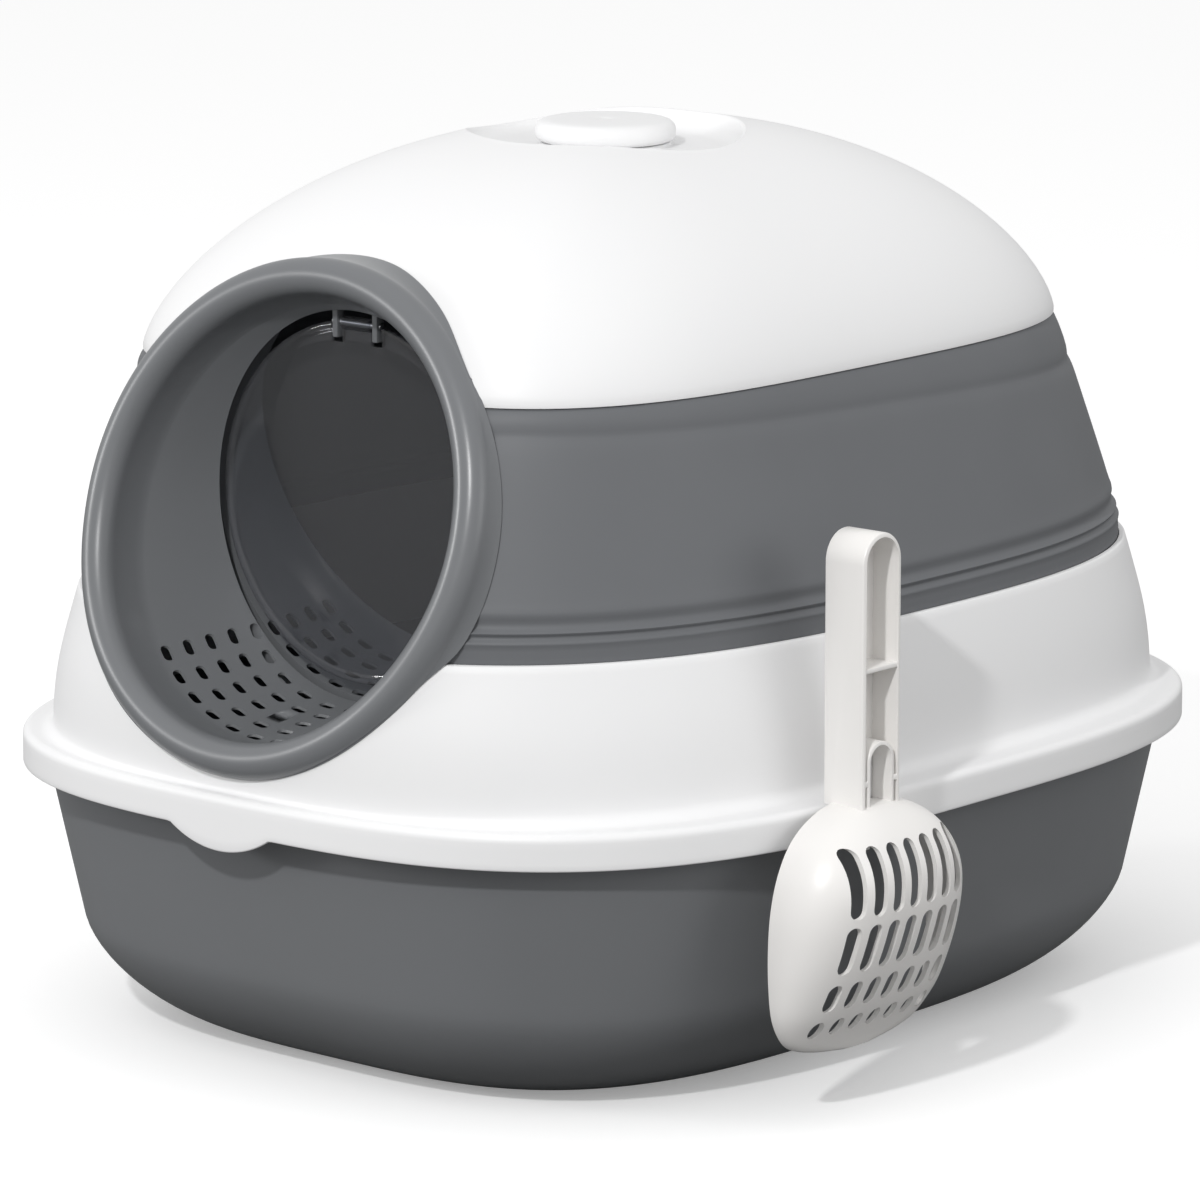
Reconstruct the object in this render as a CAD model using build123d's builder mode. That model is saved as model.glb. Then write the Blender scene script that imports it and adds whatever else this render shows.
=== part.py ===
from build123d import *
import os
from math import atan, copysign, cos, degrees, pi, radians, sin

# Covered litter box with a folding hood, a round funnel entrance and a scoop.
# +Z is up, the entrance faces -Y, and the tray's flat base lies on Z = 0.

# Overall sizes, millimetres
overall_width = 430.0
overall_length = 520.0
tray_height = 131.9
rim_bottom = 118.8
rim_top = 134.7
band_bottom = 202.0
band_top = 306.5
dome_apex = 403.4

# Walls and clearances
tray_wall = 3.0
hood_wall = 2.6
band_wall = 2.2
seat_gap = 0.3
moving_gap = 0.4

# Tray
tray_half_width = 202.6
tray_half_length = 244.3
tray_power = 3.34
tray_draft = 22.3
tray_corner_radius = 46.7
tray_corner_power = 1.7
tray_rim_width = 6.0
tray_rim_thickness = 3.0

# Hood outline: half width, half length and squareness at each seam
rim_power = 3.07
hood_base = (197.0, 253.0, 3.05)
band_base = (189.5, 249.0, 2.76)
dome_base = (154.8, 208.0, 3.2)
dome_front_power = 3.6
dome_side_power = 2 / 2.115
dome_rise_power = 2 / 1.531
dome_angles = (20, 38, 52, 62, 69, 76)
ledge_thickness = 2.5
rim_edge_radius = 2.4

# Pull tab under the front of the rim
tab_half_width = 29.4
tab_drop = 8.8

# Creases of the folding band
crease_proud = 0.9
lower_crease_heights = (210.9, 215.3)
upper_crease_height = 294.5
crease_height = 2.0

# Dish and filter opening in the dome
dish_radius = 62.0
dish_floor_radius = 50.0
dish_floor = 390.0
dish_center_y = -4.0
collar_radius = 29.5
collar_height = 1.9
filter_bore_radius = 23.0

# Filter cap, its basket and its charcoal pad
cap_radius = 31.8
cap_top = 402.0
cap_wall = 2.4
cap_edge_radius = 4.6
basket_clearance = 0.4
basket_wall = 1.8
basket_depth = 22.0
basket_flange_thickness = 2.0
basket_hole_radius = 1.6
pad_thickness = 14.0

# Entrance: a cone on an axis that tilts up towards the front
entrance_center = (0.0, -217.6, 250.0)
entrance_tilt = 17.4
entrance_wall = 2.6
lip_radius = 114.4
throat_radius = 98.2
funnel_radius = 103.3
funnel_taper = 0.46
opening_lap = 4.4
skirt_depth = 26.0
skirt_flare = 0.12
funnel_back_y = -171.6

# Rear half of the entrance
groove_radius = 94.6
rear_front_y = -165.0
rear_radius = 88.5
rear_taper = 0.24
rear_end_y = -136.0
rear_end_height = 250.0
rear_end_slope = 0.36
rear_center_height = 250.0
flange_thickness = 2.2
front_flange_width = 3.0

# Drain holes, long across the funnel
hole_length = 7.2
hole_width = 4.5
hole_pitch = 14.2
front_row_first = 18.0
front_row_step = 10.6
front_row_count = 5
front_row_half_angle = 45.8
rear_row_first = 3.4
rear_row_step = 10.1
rear_row_count = 4
rear_row_half_angle = 41.9
rear_hole_count = 10

# Flap and its hinge
flap_radius = 80.5
flap_thickness = 1.8
flap_bead_width = 3.0
flap_bead_thickness = 3.0
flap_center_height = 249.5
hinge_height = 328.9
hinge_y = -168.8
pin_radius = 1.5
pin_clearance = 0.06
press_clearance = 0.02
barrel_radius = 3.2
arm_offset = 11.7
arm_width = 3.0
arm_depth = 4.8
arm_drop = 6.9
notch_width = 6.4
notch_drop = 9.0
barrel_half_length = 8.5
pin_overhang = 1.0

# Screws that join the two halves of the entrance
screw_count = 4
screw_radius = 1.4
screw_head_radius = 2.4
screw_head_height = 1.6
screw_length = 11.0
screw_clearance = 0.2
boss_radius = 3.6
screw_circle_radius = 93.4

# Scoop, hung on a hook at the right side of the rim
scoop_y = -93.3
scoop_inner_x = 215.1
handle_back_x = 210.4
handle_foot = 136.3
web_thickness = 2.4
scoop_wall = 2.2
handle_width = 25.0
handle_depth = 18.7
handle_edge_radius = 1.5
handle_top = 257.0
channel_depth = 16.0
channel_wall = 2.0
cross_rib_height = 196.0
tongue_half_width = 9.1
tongue_wall = 1.7
tongue_top = 165.0
nub_height = 147.0
nub_size = 2.4
nub_depth = 3.0
shoulder_height = 137.0
blade_power = 2.8
blade_levels = (
    (28.5, 14.0, 5.2),
    (30.5, 29.0, 6.2),
    (34.0, 41.0, 8.0),
    (40.0, 48.0, 11.6),
    (50.0, 53.0, 18.2),
    (64.0, 55.0, 25.4),
    (78.0, 55.4, 31.2),
    (92.0, 54.5, 35.4),
    (104.0, 52.0, 37.2),
    (114.0, 48.0, 36.0),
    (123.0, 42.0, 31.8),
    (130.0, 33.5, 26.6),
    (135.0, 22.5, 21.6),
    (shoulder_height, 14.0, handle_depth),
)
slot_pitch = 12.0
slot_fan = 0.0145
slot_fan_height = 40.0
slot_center_y = -94.2
slot_width = 7.2
slot_columns = 7
slot_rows = ((39.4, 47.4), (52.2, 65.0), (69.8, 91.4), (94.9, 124.5))

# Hook on the rim that carries the scoop
hook_arm_bottom = 126.0
hook_arm_height = 6.0
hook_prong_depth = 3.0

# Sizes that follow from the ones above
outline_points = 28
rim_half_width = overall_width / 2
rim_half_length = overall_length / 2
opening_radius = lip_radius - opening_lap
bead_radius = (lip_radius - throat_radius) / 2
bead_center = (lip_radius + throat_radius) / 2
cap_bottom = dish_floor + collar_height + seat_gap
scoop_outer_x = scoop_inner_x + handle_depth
scoop_channel_x = scoop_outer_x - channel_depth
tilt = radians(entrance_tilt)
outward = (0.0, -cos(tilt), sin(tilt))
entrance_plane = Plane(origin=entrance_center, x_dir=(1, 0, 0), z_dir=outward)


def oval_points(half_x, half_y, power, front_power=None):
    """Points round a superellipse, in order, for one closed spline."""
    points = []
    for index in range(outline_points):
        angle = 2 * pi * index / outline_points
        squareness = front_power if front_power and sin(angle) < 0 else power
        x = half_x * copysign(abs(cos(angle)) ** (2 / squareness), cos(angle))
        y = half_y * copysign(abs(sin(angle)) ** (2 / squareness), sin(angle))
        points.append((x, y))
    return points


def oval(height, half_x, half_y, power, front_power=None):
    """One level outline, as a face at its height."""
    with BuildSketch(Plane.XY.offset(height)) as level:
        with BuildLine():
            Spline(*oval_points(half_x, half_y, power, front_power), periodic=True)
        make_face()
    return level.sketch.face()


def slab(low, high, mode):
    """Keep or take away everything between two heights."""
    with Locations((0, 0, low)):
        Box(
            2 * overall_width,
            2 * overall_length,
            high - low,
            align=(Align.CENTER, Align.CENTER, Align.MIN),
            mode=mode,
        )


def hood_form(inset):
    """The whole hood as one closed form, drawn in by an inset."""
    levels = []
    for height, base in ((rim_top - 6, hood_base), (rim_top, hood_base), (band_bottom, band_base)):
        half_x, half_y, power = base
        levels.append(oval(height, half_x - inset, half_y - inset, power))
    half_x, half_y, power = dome_base
    levels.append(oval(band_top, half_x - inset, half_y - inset, power, dome_front_power))
    rise = dome_apex - band_top
    for angle in dome_angles:
        height = band_top + (rise - inset) * sin(radians(angle)) ** dome_rise_power
        share = cos(radians(angle)) ** dome_side_power
        levels.append(
            oval(height, half_x * share - inset, half_y * share - inset, power, dome_front_power)
        )
    with BuildPart() as form:
        loft(levels)
    return form.part


def tray_form(inset, floor):
    """The tray as one closed form, drawn in by an inset above a floor."""
    levels = []
    steps = 6
    for step in range(steps + 1):
        drop = cos(step / steps * pi / 2)
        height = tray_corner_radius * (1 - drop)
        round_in = tray_corner_radius * (1 - (1 - drop ** tray_corner_power) ** (1 / tray_corner_power))
        lean_in = tray_draft * (1 - height / rim_bottom)
        level_inset = round_in + lean_in + inset
        level_height = floor + height * (rim_bottom - floor) / rim_bottom
        levels.append(
            oval(level_height, tray_half_width - level_inset, tray_half_length - level_inset, tray_power)
        )
    for height in (64.0, 82.0, 100.0, rim_bottom, tray_height + floor):
        lean_in = tray_draft * (1 - height / rim_bottom) + inset
        levels.append(oval(height, tray_half_width - lean_in, tray_half_length - lean_in, tray_power))
    with BuildPart() as form:
        loft(levels)
    return form.part


def funnel_inner(depth):
    """Inner radius of the funnel at a depth behind the lip's plane."""
    return funnel_radius - funnel_taper * depth


def rear_inner(back):
    """Inner radius of the rear half at a distance behind its front edge."""
    return rear_radius - rear_taper * back


def mirrored_angles(half_angle, count):
    """Angles spaced evenly from one side to the other."""
    return [-half_angle + 2 * half_angle * index / (count - 1) for index in range(count)]


outer_form = hood_form(0)
inner_form = hood_form(hood_wall)
band_inner_form = hood_form(band_wall)
landing_form = hood_form(-moving_gap)
crease_form = hood_form(-crease_proud)

# Tray: one moulding with a rolled rim that carries the hood
with BuildPart() as base_tray:
    add(tray_form(0, 0))
    with BuildSketch(Plane.XY.offset(tray_height - tray_rim_thickness)):
        with BuildLine():
            Spline(
                *oval_points(
                    tray_half_width + tray_rim_width,
                    tray_half_length + tray_rim_width,
                    tray_power,
                ),
                periodic=True,
            )
        make_face()
    extrude(amount=tray_rim_thickness)
    add(tray_form(tray_wall, tray_wall), mode=Mode.SUBTRACT)
base_tray.part.label = "base_tray"

# Lower hood: rim skirt, ledge, wall, pull tab and the scoop's hook
with BuildPart() as skirt:
    with BuildSketch(Plane.XY.offset(rim_bottom - tab_drop)):
        with BuildLine():
            Spline(*oval_points(rim_half_width, rim_half_length, rim_power), periodic=True)
        make_face()
        with BuildLine():
            Spline(
                *oval_points(rim_half_width - hood_wall, rim_half_length - hood_wall, rim_power),
                periodic=True,
            )
        make_face(mode=Mode.SUBTRACT)
    extrude(amount=rim_top - rim_bottom)

with BuildPart() as front_tab:
    with BuildSketch(Plane.XZ):
        with BuildLine():
            ThreePointArc(
                (-tab_half_width, rim_bottom),
                (0, rim_bottom - tab_drop),
                (tab_half_width, rim_bottom),
            )
            Polyline(
                (tab_half_width, rim_bottom),
                (tab_half_width, rim_bottom + ledge_thickness),
                (-tab_half_width, rim_bottom + ledge_thickness),
                (-tab_half_width, rim_bottom),
            )
        make_face()
    extrude(amount=overall_length)
    add(skirt.part, mode=Mode.INTERSECT)

with BuildPart() as lower_block:
    add(outer_form)
    slab(rim_top - ledge_thickness, band_bottom, Mode.INTERSECT)

with BuildPart() as entrance_opening:
    with BuildSketch(entrance_plane.offset(-funnel_radius / 2)):
        Circle(opening_radius)
    extrude(amount=funnel_radius)

rim_x_at_scoop = rim_half_width * (1 - abs(scoop_y / rim_half_length) ** rim_power) ** (1 / rim_power)
hook_x = scoop_channel_x + moving_gap
hook_outer_x = hook_x + hook_prong_depth
hook_half_width = tongue_half_width - tongue_wall - seat_gap
tongue_center = tongue_top - tongue_half_width

with BuildPart() as hood_lower:
    with BuildSketch(Plane.XY.offset(rim_bottom)):
        with BuildLine():
            Spline(*oval_points(rim_half_width, rim_half_length, rim_power), periodic=True)
        make_face()
    extrude(amount=rim_top - rim_bottom)
    fillet(edges().group_by(Axis.Z)[-1], rim_edge_radius)
    with BuildSketch(Plane.XY.offset(rim_bottom)):
        with BuildLine():
            Spline(
                *oval_points(rim_half_width - hood_wall, rim_half_length - hood_wall, rim_power),
                periodic=True,
            )
        make_face()
    extrude(amount=rim_top - rim_bottom - ledge_thickness, mode=Mode.SUBTRACT)
    add(lower_block.part)
    add(inner_form, mode=Mode.SUBTRACT)
    add(front_tab.part)
    add(entrance_opening.part, mode=Mode.SUBTRACT)
    with Locations((rim_x_at_scoop - hood_wall / 2, scoop_y, hook_arm_bottom)):
        Box(
            hook_outer_x - rim_x_at_scoop + hood_wall / 2,
            2 * hook_half_width,
            hook_arm_height,
            align=(Align.MIN, Align.CENTER, Align.MIN),
        )
    with BuildSketch(Plane.YZ.offset(hook_x)):
        with Locations((scoop_y, tongue_center)):
            Circle(hook_half_width)
        with Locations((scoop_y, hook_arm_bottom)):
            Rectangle(
                2 * hook_half_width,
                tongue_center - hook_arm_bottom,
                align=(Align.CENTER, Align.MIN),
            )
    extrude(amount=hook_prong_depth)
hood_lower.part.label = "hood_lower"

# Folding band: soft skin between the two shells, with raised fold creases
with BuildPart() as creases:
    add(crease_form)
    with Locations(
        (0, 0, lower_crease_heights[0]),
        (0, 0, lower_crease_heights[1]),
        (0, 0, upper_crease_height),
    ):
        Box(
            2 * overall_width,
            2 * overall_length,
            crease_height,
            mode=Mode.INTERSECT,
        )
    with BuildSketch(entrance_plane.offset(-funnel_radius / 2)):
        Circle(lip_radius + skirt_flare * skirt_depth + moving_gap)
    extrude(amount=funnel_radius, mode=Mode.SUBTRACT)

with BuildPart() as folding_band:
    add(outer_form)
    slab(band_bottom, band_top - seat_gap, Mode.INTERSECT)
    add(creases.part)
    add(band_inner_form, mode=Mode.SUBTRACT)
    add(entrance_opening.part, mode=Mode.SUBTRACT)
folding_band.part.label = "folding_band"

# Top dome: shell with a finger dish round the filter opening
dish_plane = Plane(origin=(0, dish_center_y, 0), x_dir=(1, 0, 0), z_dir=(0, -1, 0))
dish_axis = Axis((0, dish_center_y, 0), (0, 0, 1))

with BuildPart() as dish_pan:
    with BuildSketch(dish_plane):
        with BuildLine():
            Polyline(
                (0, dish_floor - hood_wall),
                (dish_floor_radius, dish_floor - hood_wall),
                (dish_radius + hood_wall, dish_floor + hood_wall),
                (dish_radius + hood_wall, dome_apex),
                (0, dome_apex),
                close=True,
            )
        make_face()
    revolve(axis=dish_axis)
    add(outer_form, mode=Mode.INTERSECT)

with BuildPart() as dish_space:
    with BuildSketch(dish_plane):
        with BuildLine():
            Line((0, dish_floor), (dish_floor_radius, dish_floor))
            ThreePointArc(
                (dish_floor_radius, dish_floor),
                (dish_radius - hood_wall, dish_floor + hood_wall),
                (dish_radius, dish_floor + 3 * hood_wall),
            )
            Polyline(
                (dish_radius, dish_floor + 3 * hood_wall),
                (dish_radius, dome_apex + hood_wall),
                (0, dome_apex + hood_wall),
                (0, dish_floor),
            )
        make_face()
    revolve(axis=dish_axis)

with BuildPart() as top_dome:
    add(outer_form)
    slab(band_top, dome_apex, Mode.INTERSECT)
    add(inner_form, mode=Mode.SUBTRACT)
    add(dish_pan.part)
    add(dish_space.part, mode=Mode.SUBTRACT)
    with BuildSketch(Plane.XY.offset(dish_floor)):
        with Locations((0, dish_center_y)):
            Circle(collar_radius)
    extrude(amount=collar_height)
    with BuildSketch(Plane.XY.offset(dish_floor - 2 * hood_wall)):
        with Locations((0, dish_center_y)):
            Circle(filter_bore_radius)
    extrude(amount=4 * hood_wall, mode=Mode.SUBTRACT)
    add(entrance_opening.part, mode=Mode.SUBTRACT)
top_dome.part.label = "top_dome"

# Filter cap: a pillow-edged knob, hollow from below
cap_edge = (cap_top - cap_bottom) / 2
with BuildPart() as filter_cap:
    with BuildSketch(Plane.XY.offset(cap_bottom)):
        with Locations((0, dish_center_y)):
            Circle(cap_radius)
    extrude(amount=cap_top - cap_bottom)
    fillet(edges().group_by(Axis.Z)[-1], min(cap_edge_radius, cap_edge))
    fillet(edges().group_by(Axis.Z)[0], min(cap_edge_radius, cap_edge) / 2)
    with BuildSketch(Plane.XY.offset(cap_bottom)):
        with Locations((0, dish_center_y)):
            Circle(cap_radius - cap_edge_radius)
    extrude(amount=cap_top - cap_bottom - cap_wall, mode=Mode.SUBTRACT)
filter_cap.part.label = "filter_cap"

# Filter basket: slotted cup that hangs from the cap through the dome
basket_radius = filter_bore_radius - basket_clearance
basket_top = cap_top - cap_wall
basket_flange_radius = cap_radius - cap_edge_radius - basket_clearance / 2
basket_floor = dish_floor - basket_depth
basket_hole_rings = ((1, 0.0), (6, basket_radius / 3), (12, 2 * basket_radius / 3))
with BuildPart() as filter_basket:
    with BuildSketch(Plane.XY.offset(basket_floor)):
        with Locations((0, dish_center_y)):
            Circle(basket_radius)
    extrude(amount=basket_top - basket_floor)
    with BuildSketch(Plane.XY.offset(basket_top - basket_flange_thickness)):
        with Locations((0, dish_center_y)):
            Circle(basket_flange_radius)
    extrude(amount=basket_flange_thickness)
    with BuildSketch(Plane.XY.offset(basket_floor + basket_wall)):
        with Locations((0, dish_center_y)):
            Circle(basket_radius - basket_wall)
    extrude(amount=basket_top - basket_floor, mode=Mode.SUBTRACT)
    with BuildSketch(Plane.XY.offset(basket_floor)):
        with Locations((0, dish_center_y)):
            for count, ring_radius in basket_hole_rings:
                with PolarLocations(ring_radius, count):
                    Circle(basket_hole_radius)
    extrude(amount=basket_wall, mode=Mode.SUBTRACT)
filter_basket.part.label = "filter_basket"

# Charcoal pad: a disc that lies on the basket's floor
with BuildPart() as charcoal_pad:
    with BuildSketch(Plane.XY.offset(basket_floor + basket_wall + seat_gap)):
        with Locations((0, dish_center_y)):
            Circle(basket_radius - basket_wall - seat_gap)
    extrude(amount=pad_thickness)
charcoal_pad.part.label = "charcoal_pad"

# Entrance, front half: rounded lip, skirt that lands on the hood, and funnel
ring_plane = Plane(origin=entrance_center, x_dir=(1, 0, 0), z_dir=(0, -sin(tilt), -cos(tilt)))
ring_axis = Axis(entrance_center, outward)
taper_angle = atan(funnel_taper)
wall_across = entrance_wall / cos(taper_angle)
throat_depth = (funnel_radius - throat_radius) / funnel_taper
outer_throat = throat_radius + entrance_wall
outer_throat_depth = (funnel_radius + wall_across - outer_throat) / funnel_taper
funnel_depth = funnel_radius
bead_inside = bead_radius - entrance_wall
diagonal = cos(pi / 4)

with BuildPart() as funnel:
    with BuildSketch(ring_plane):
        with BuildLine():
            ThreePointArc(
                (throat_radius, 0),
                (bead_center - bead_radius * diagonal, bead_radius * diagonal),
                (bead_center, bead_radius),
            )
            Line((bead_center, bead_radius), (bead_center, bead_inside))
            ThreePointArc(
                (bead_center, bead_inside),
                (bead_center - bead_inside * diagonal, bead_inside * diagonal),
                (outer_throat, 0),
            )
            Polyline(
                (outer_throat, 0),
                (outer_throat, -outer_throat_depth),
                (funnel_inner(funnel_depth) + wall_across, -funnel_depth),
                (funnel_inner(funnel_depth), -funnel_depth),
                (throat_radius, -throat_depth),
                (throat_radius, 0),
            )
        make_face()
    revolve(axis=ring_axis)
    with BuildSketch(Plane.XZ.offset(-funnel_back_y)):
        with Locations((0, rear_center_height)):
            Rectangle(overall_width, overall_width)
    extrude(amount=-overall_width, mode=Mode.SUBTRACT)

with BuildPart() as funnel_bore:
    with BuildSketch(ring_plane):
        with BuildLine():
            Polyline(
                (0, 0),
                (throat_radius, 0),
                (throat_radius, -throat_depth),
                (funnel_inner(funnel_depth), -funnel_depth),
                (0, -funnel_depth),
                close=True,
            )
        make_face()
    revolve(axis=ring_axis)

with BuildPart() as lip_skirt:
    with BuildSketch(ring_plane):
        with BuildLine():
            ThreePointArc(
                (bead_center, bead_radius),
                (bead_center + bead_radius * diagonal, bead_radius * diagonal),
                (lip_radius, 0),
            )
            Polyline(
                (lip_radius, 0),
                (lip_radius + skirt_flare * skirt_depth, -skirt_depth),
                (lip_radius + skirt_flare * skirt_depth - entrance_wall, -skirt_depth),
                (lip_radius - entrance_wall, 0),
            )
            ThreePointArc(
                (lip_radius - entrance_wall, 0),
                (bead_center + bead_inside * diagonal, bead_inside * diagonal),
                (bead_center, bead_inside),
            )
            Line((bead_center, bead_inside), (bead_center, bead_radius))
        make_face()
    revolve(axis=ring_axis)
    add(landing_form, mode=Mode.SUBTRACT)

screw_angles = [360 / screw_count * (index + 0.5) for index in range(screw_count)]
screw_places = [
    (
        screw_circle_radius * cos(radians(angle)),
        rear_center_height + screw_circle_radius * sin(radians(angle)),
    )
    for angle in screw_angles
]
groove_outer = groove_radius + entrance_wall

with BuildPart() as entrance_front_ring:
    with BuildSketch(Plane.XZ.offset(-funnel_back_y)):
        with Locations((0, rear_center_height)):
            Circle(groove_outer)
    extrude(amount=front_flange_width)
    add(funnel_bore.part, mode=Mode.SUBTRACT)
    add(funnel.part)
    add(lip_skirt.part)
    with BuildSketch(Plane.XZ.offset(-funnel_back_y)):
        with Locations(*screw_places):
            Circle(screw_radius + press_clearance)
    extrude(amount=front_flange_width, mode=Mode.SUBTRACT)
    for row in range(front_row_count):
        depth = front_row_first + front_row_step * row
        radius = funnel_inner(depth)
        half_angle = front_row_half_angle + row
        spaces = round(2 * radians(half_angle) * radius / hole_pitch)
        for angle in mirrored_angles(half_angle, spaces + 1):
            side = sin(radians(angle))
            fall = -cos(radians(angle))
            center = entrance_plane.from_local_coords((radius * side, radius * fall, -depth))
            reach = entrance_plane.from_local_coords((side, fall, 0)) - Vector(entrance_center)
            along = entrance_plane.from_local_coords((-fall, side, 0)) - Vector(entrance_center)
            with BuildSketch(Plane(origin=center, x_dir=along, z_dir=reach)):
                SlotOverall(hole_length, hole_width)
            extrude(amount=2 * entrance_wall, both=True, mode=Mode.SUBTRACT)
entrance_front_ring.part.label = "entrance_front_ring"

# Entrance, rear half: short tapered tunnel with hinge arms and screw bosses
rear_plane = Plane(origin=(0, 0, rear_center_height), x_dir=(1, 0, 0), z_dir=(0, 0, 1))
rear_axis = Axis((0, 0, rear_center_height), (0, 1, 0))
rear_length = rear_radius
rear_wall_across = entrance_wall / cos(atan(rear_taper))
flange_back_y = rear_front_y + flange_thickness
groove_front_y = funnel_back_y + seat_gap
arm_front_y = hinge_y - arm_depth / 2
end_angle = degrees(atan(rear_end_slope))
end_plane = Plane(
    origin=(0, rear_end_y, rear_end_height),
    x_dir=(1, 0, 0),
    z_dir=(0, cos(radians(end_angle)), sin(radians(end_angle))),
)

with BuildPart() as rear_tunnel:
    with BuildSketch(rear_plane):
        with BuildLine():
            Polyline(
                (rear_inner(0), rear_front_y),
                (rear_inner(0) + rear_wall_across, rear_front_y),
                (rear_inner(rear_length) + rear_wall_across, rear_front_y + rear_length),
                (rear_inner(rear_length), rear_front_y + rear_length),
                close=True,
            )
        make_face()
    revolve(axis=rear_axis)
    with BuildSketch(end_plane):
        Rectangle(overall_width, overall_width)
    extrude(amount=overall_width, mode=Mode.SUBTRACT)

with BuildPart() as entrance_rear_ring:
    with BuildSketch(rear_plane):
        with BuildLine():
            Polyline(
                (rear_inner(0), rear_front_y),
                (groove_radius, rear_front_y),
                (groove_radius, groove_front_y),
                (groove_outer, groove_front_y),
                (groove_outer, flange_back_y),
                (rear_inner(0), flange_back_y),
                close=True,
            )
        make_face()
    revolve(axis=rear_axis)
    add(rear_tunnel.part)
    with BuildSketch(Plane.XZ.offset(-flange_back_y)):
        with Locations(*screw_places):
            Circle(boss_radius)
    extrude(amount=flange_back_y - groove_front_y)
    with BuildSketch(Plane.XZ.offset(-flange_back_y)):
        with Locations(*screw_places):
            Circle(screw_radius + screw_clearance)
    extrude(amount=flange_back_y - groove_front_y, mode=Mode.SUBTRACT)
    arm_top = rear_center_height + groove_radius + entrance_wall / 2
    arm_bottom = hinge_height - arm_drop
    with Locations((-arm_offset, arm_front_y, arm_bottom), (arm_offset, arm_front_y, arm_bottom)):
        Box(
            arm_width,
            arm_depth,
            arm_top - arm_bottom,
            align=(Align.CENTER, Align.MIN, Align.MIN),
        )
    with BuildSketch(Plane.YZ.offset(-2 * arm_offset)):
        with Locations((hinge_y, hinge_height)):
            Circle(pin_radius + press_clearance)
    extrude(amount=4 * arm_offset, mode=Mode.SUBTRACT)
    for row in range(rear_row_count):
        back = rear_row_first + rear_row_step * row
        radius = rear_inner(back)
        for angle in mirrored_angles(rear_row_half_angle, rear_hole_count):
            side = sin(radians(angle))
            fall = -cos(radians(angle))
            center = (radius * side, rear_front_y + back, rear_center_height + radius * fall)
            with BuildSketch(Plane(origin=center, x_dir=(-fall, 0, side), z_dir=(side, 0, fall))):
                SlotOverall(hole_length, hole_width)
            extrude(amount=2 * entrance_wall, both=True, mode=Mode.SUBTRACT)
entrance_rear_ring.part.label = "entrance_rear_ring"

# Screws: round-headed, in from the back through the rear half
with BuildPart() as ring_screws:
    with BuildSketch(Plane.XZ.offset(-flange_back_y)):
        with Locations(*screw_places):
            Circle(screw_radius)
    extrude(amount=screw_length)
    with BuildSketch(Plane.XZ.offset(-flange_back_y)):
        with Locations(*screw_places):
            Circle(screw_head_radius)
    extrude(amount=-screw_head_height)
ring_screws.part.label = "ring_screws"

# Flap: clear disc with a beaded rim, notches for the arms and a hinge barrel
with BuildPart() as flap_panel:
    with BuildSketch(Plane.XZ.offset(-hinge_y)):
        with Locations((0, flap_center_height)):
            Circle(flap_radius)
    extrude(amount=flap_thickness / 2, both=True)
    with BuildSketch(Plane.XZ.offset(-hinge_y)):
        with Locations((0, flap_center_height)):
            Circle(flap_radius)
            Circle(flap_radius - flap_bead_width, mode=Mode.SUBTRACT)
    extrude(amount=flap_bead_thickness / 2, both=True)
    with BuildSketch(Plane.XZ.offset(-hinge_y)):
        with Locations((-arm_offset, hinge_height - notch_drop), (arm_offset, hinge_height - notch_drop)):
            Rectangle(notch_width, 2 * notch_drop, align=(Align.CENTER, Align.MIN))
    extrude(amount=2 * flap_bead_thickness, both=True, mode=Mode.SUBTRACT)
    with BuildSketch(Plane.YZ):
        with Locations((hinge_y, hinge_height)):
            Circle(barrel_radius)
    extrude(amount=barrel_half_length, both=True)
    with BuildSketch(Plane.YZ):
        with Locations((hinge_y, hinge_height)):
            Circle(pin_radius + pin_clearance)
    extrude(amount=2 * barrel_half_length, both=True, mode=Mode.SUBTRACT)
flap_panel.part.label = "flap_panel"

# Hinge pin: a rod through both arms and the flap's barrel
with BuildPart() as hinge_pin:
    with BuildSketch(Plane.YZ):
        with Locations((hinge_y, hinge_height)):
            Circle(pin_radius)
    extrude(amount=arm_offset + arm_width / 2 + pin_overhang, both=True)
hinge_pin.part.label = "hinge_pin"


def blade_form(inset):
    """The scoop's blade as one closed form, drawn in by an inset."""
    low = blade_levels[0][0]
    high = blade_levels[-1][0]
    middle = (low + high) / 2
    shrink = 1 - 2 * inset / (high - low)
    sections = []
    for height, half_width, depth in blade_levels:
        across = half_width - inset
        curve = []
        for index in range(outline_points // 2 + 1):
            angle = pi * index / (outline_points // 2)
            reach = depth * abs(sin(angle)) ** (2 / blade_power)
            swing = -across * copysign(abs(cos(angle)) ** (2 / blade_power), cos(angle))
            curve.append((scoop_inner_x - inset + reach, scoop_y + swing))
        with BuildSketch(Plane.XY.offset(middle + (height - middle) * shrink)) as section:
            with BuildLine():
                Spline(*curve)
                Line(curve[-1], curve[0])
            make_face()
        sections.append(section.sketch.face())
    with BuildPart() as form:
        loft(sections)
    return form.part


def arch(half_width, center):
    """An upright with a round top that reaches down into the blade."""
    with Locations((scoop_y, center)):
        Circle(half_width)
    with Locations((scoop_y, arch_foot)):
        Rectangle(2 * half_width, center - arch_foot, align=(Align.CENTER, Align.MIN))


# Scoop: one moulding with a hollow blade, a channel handle and an arch for the hook
arch_foot = shoulder_height - handle_depth
handle_half = handle_width / 2
handle_center = handle_top - handle_half
channel_half = handle_half - channel_wall
tongue_inner = tongue_half_width - tongue_wall

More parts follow.
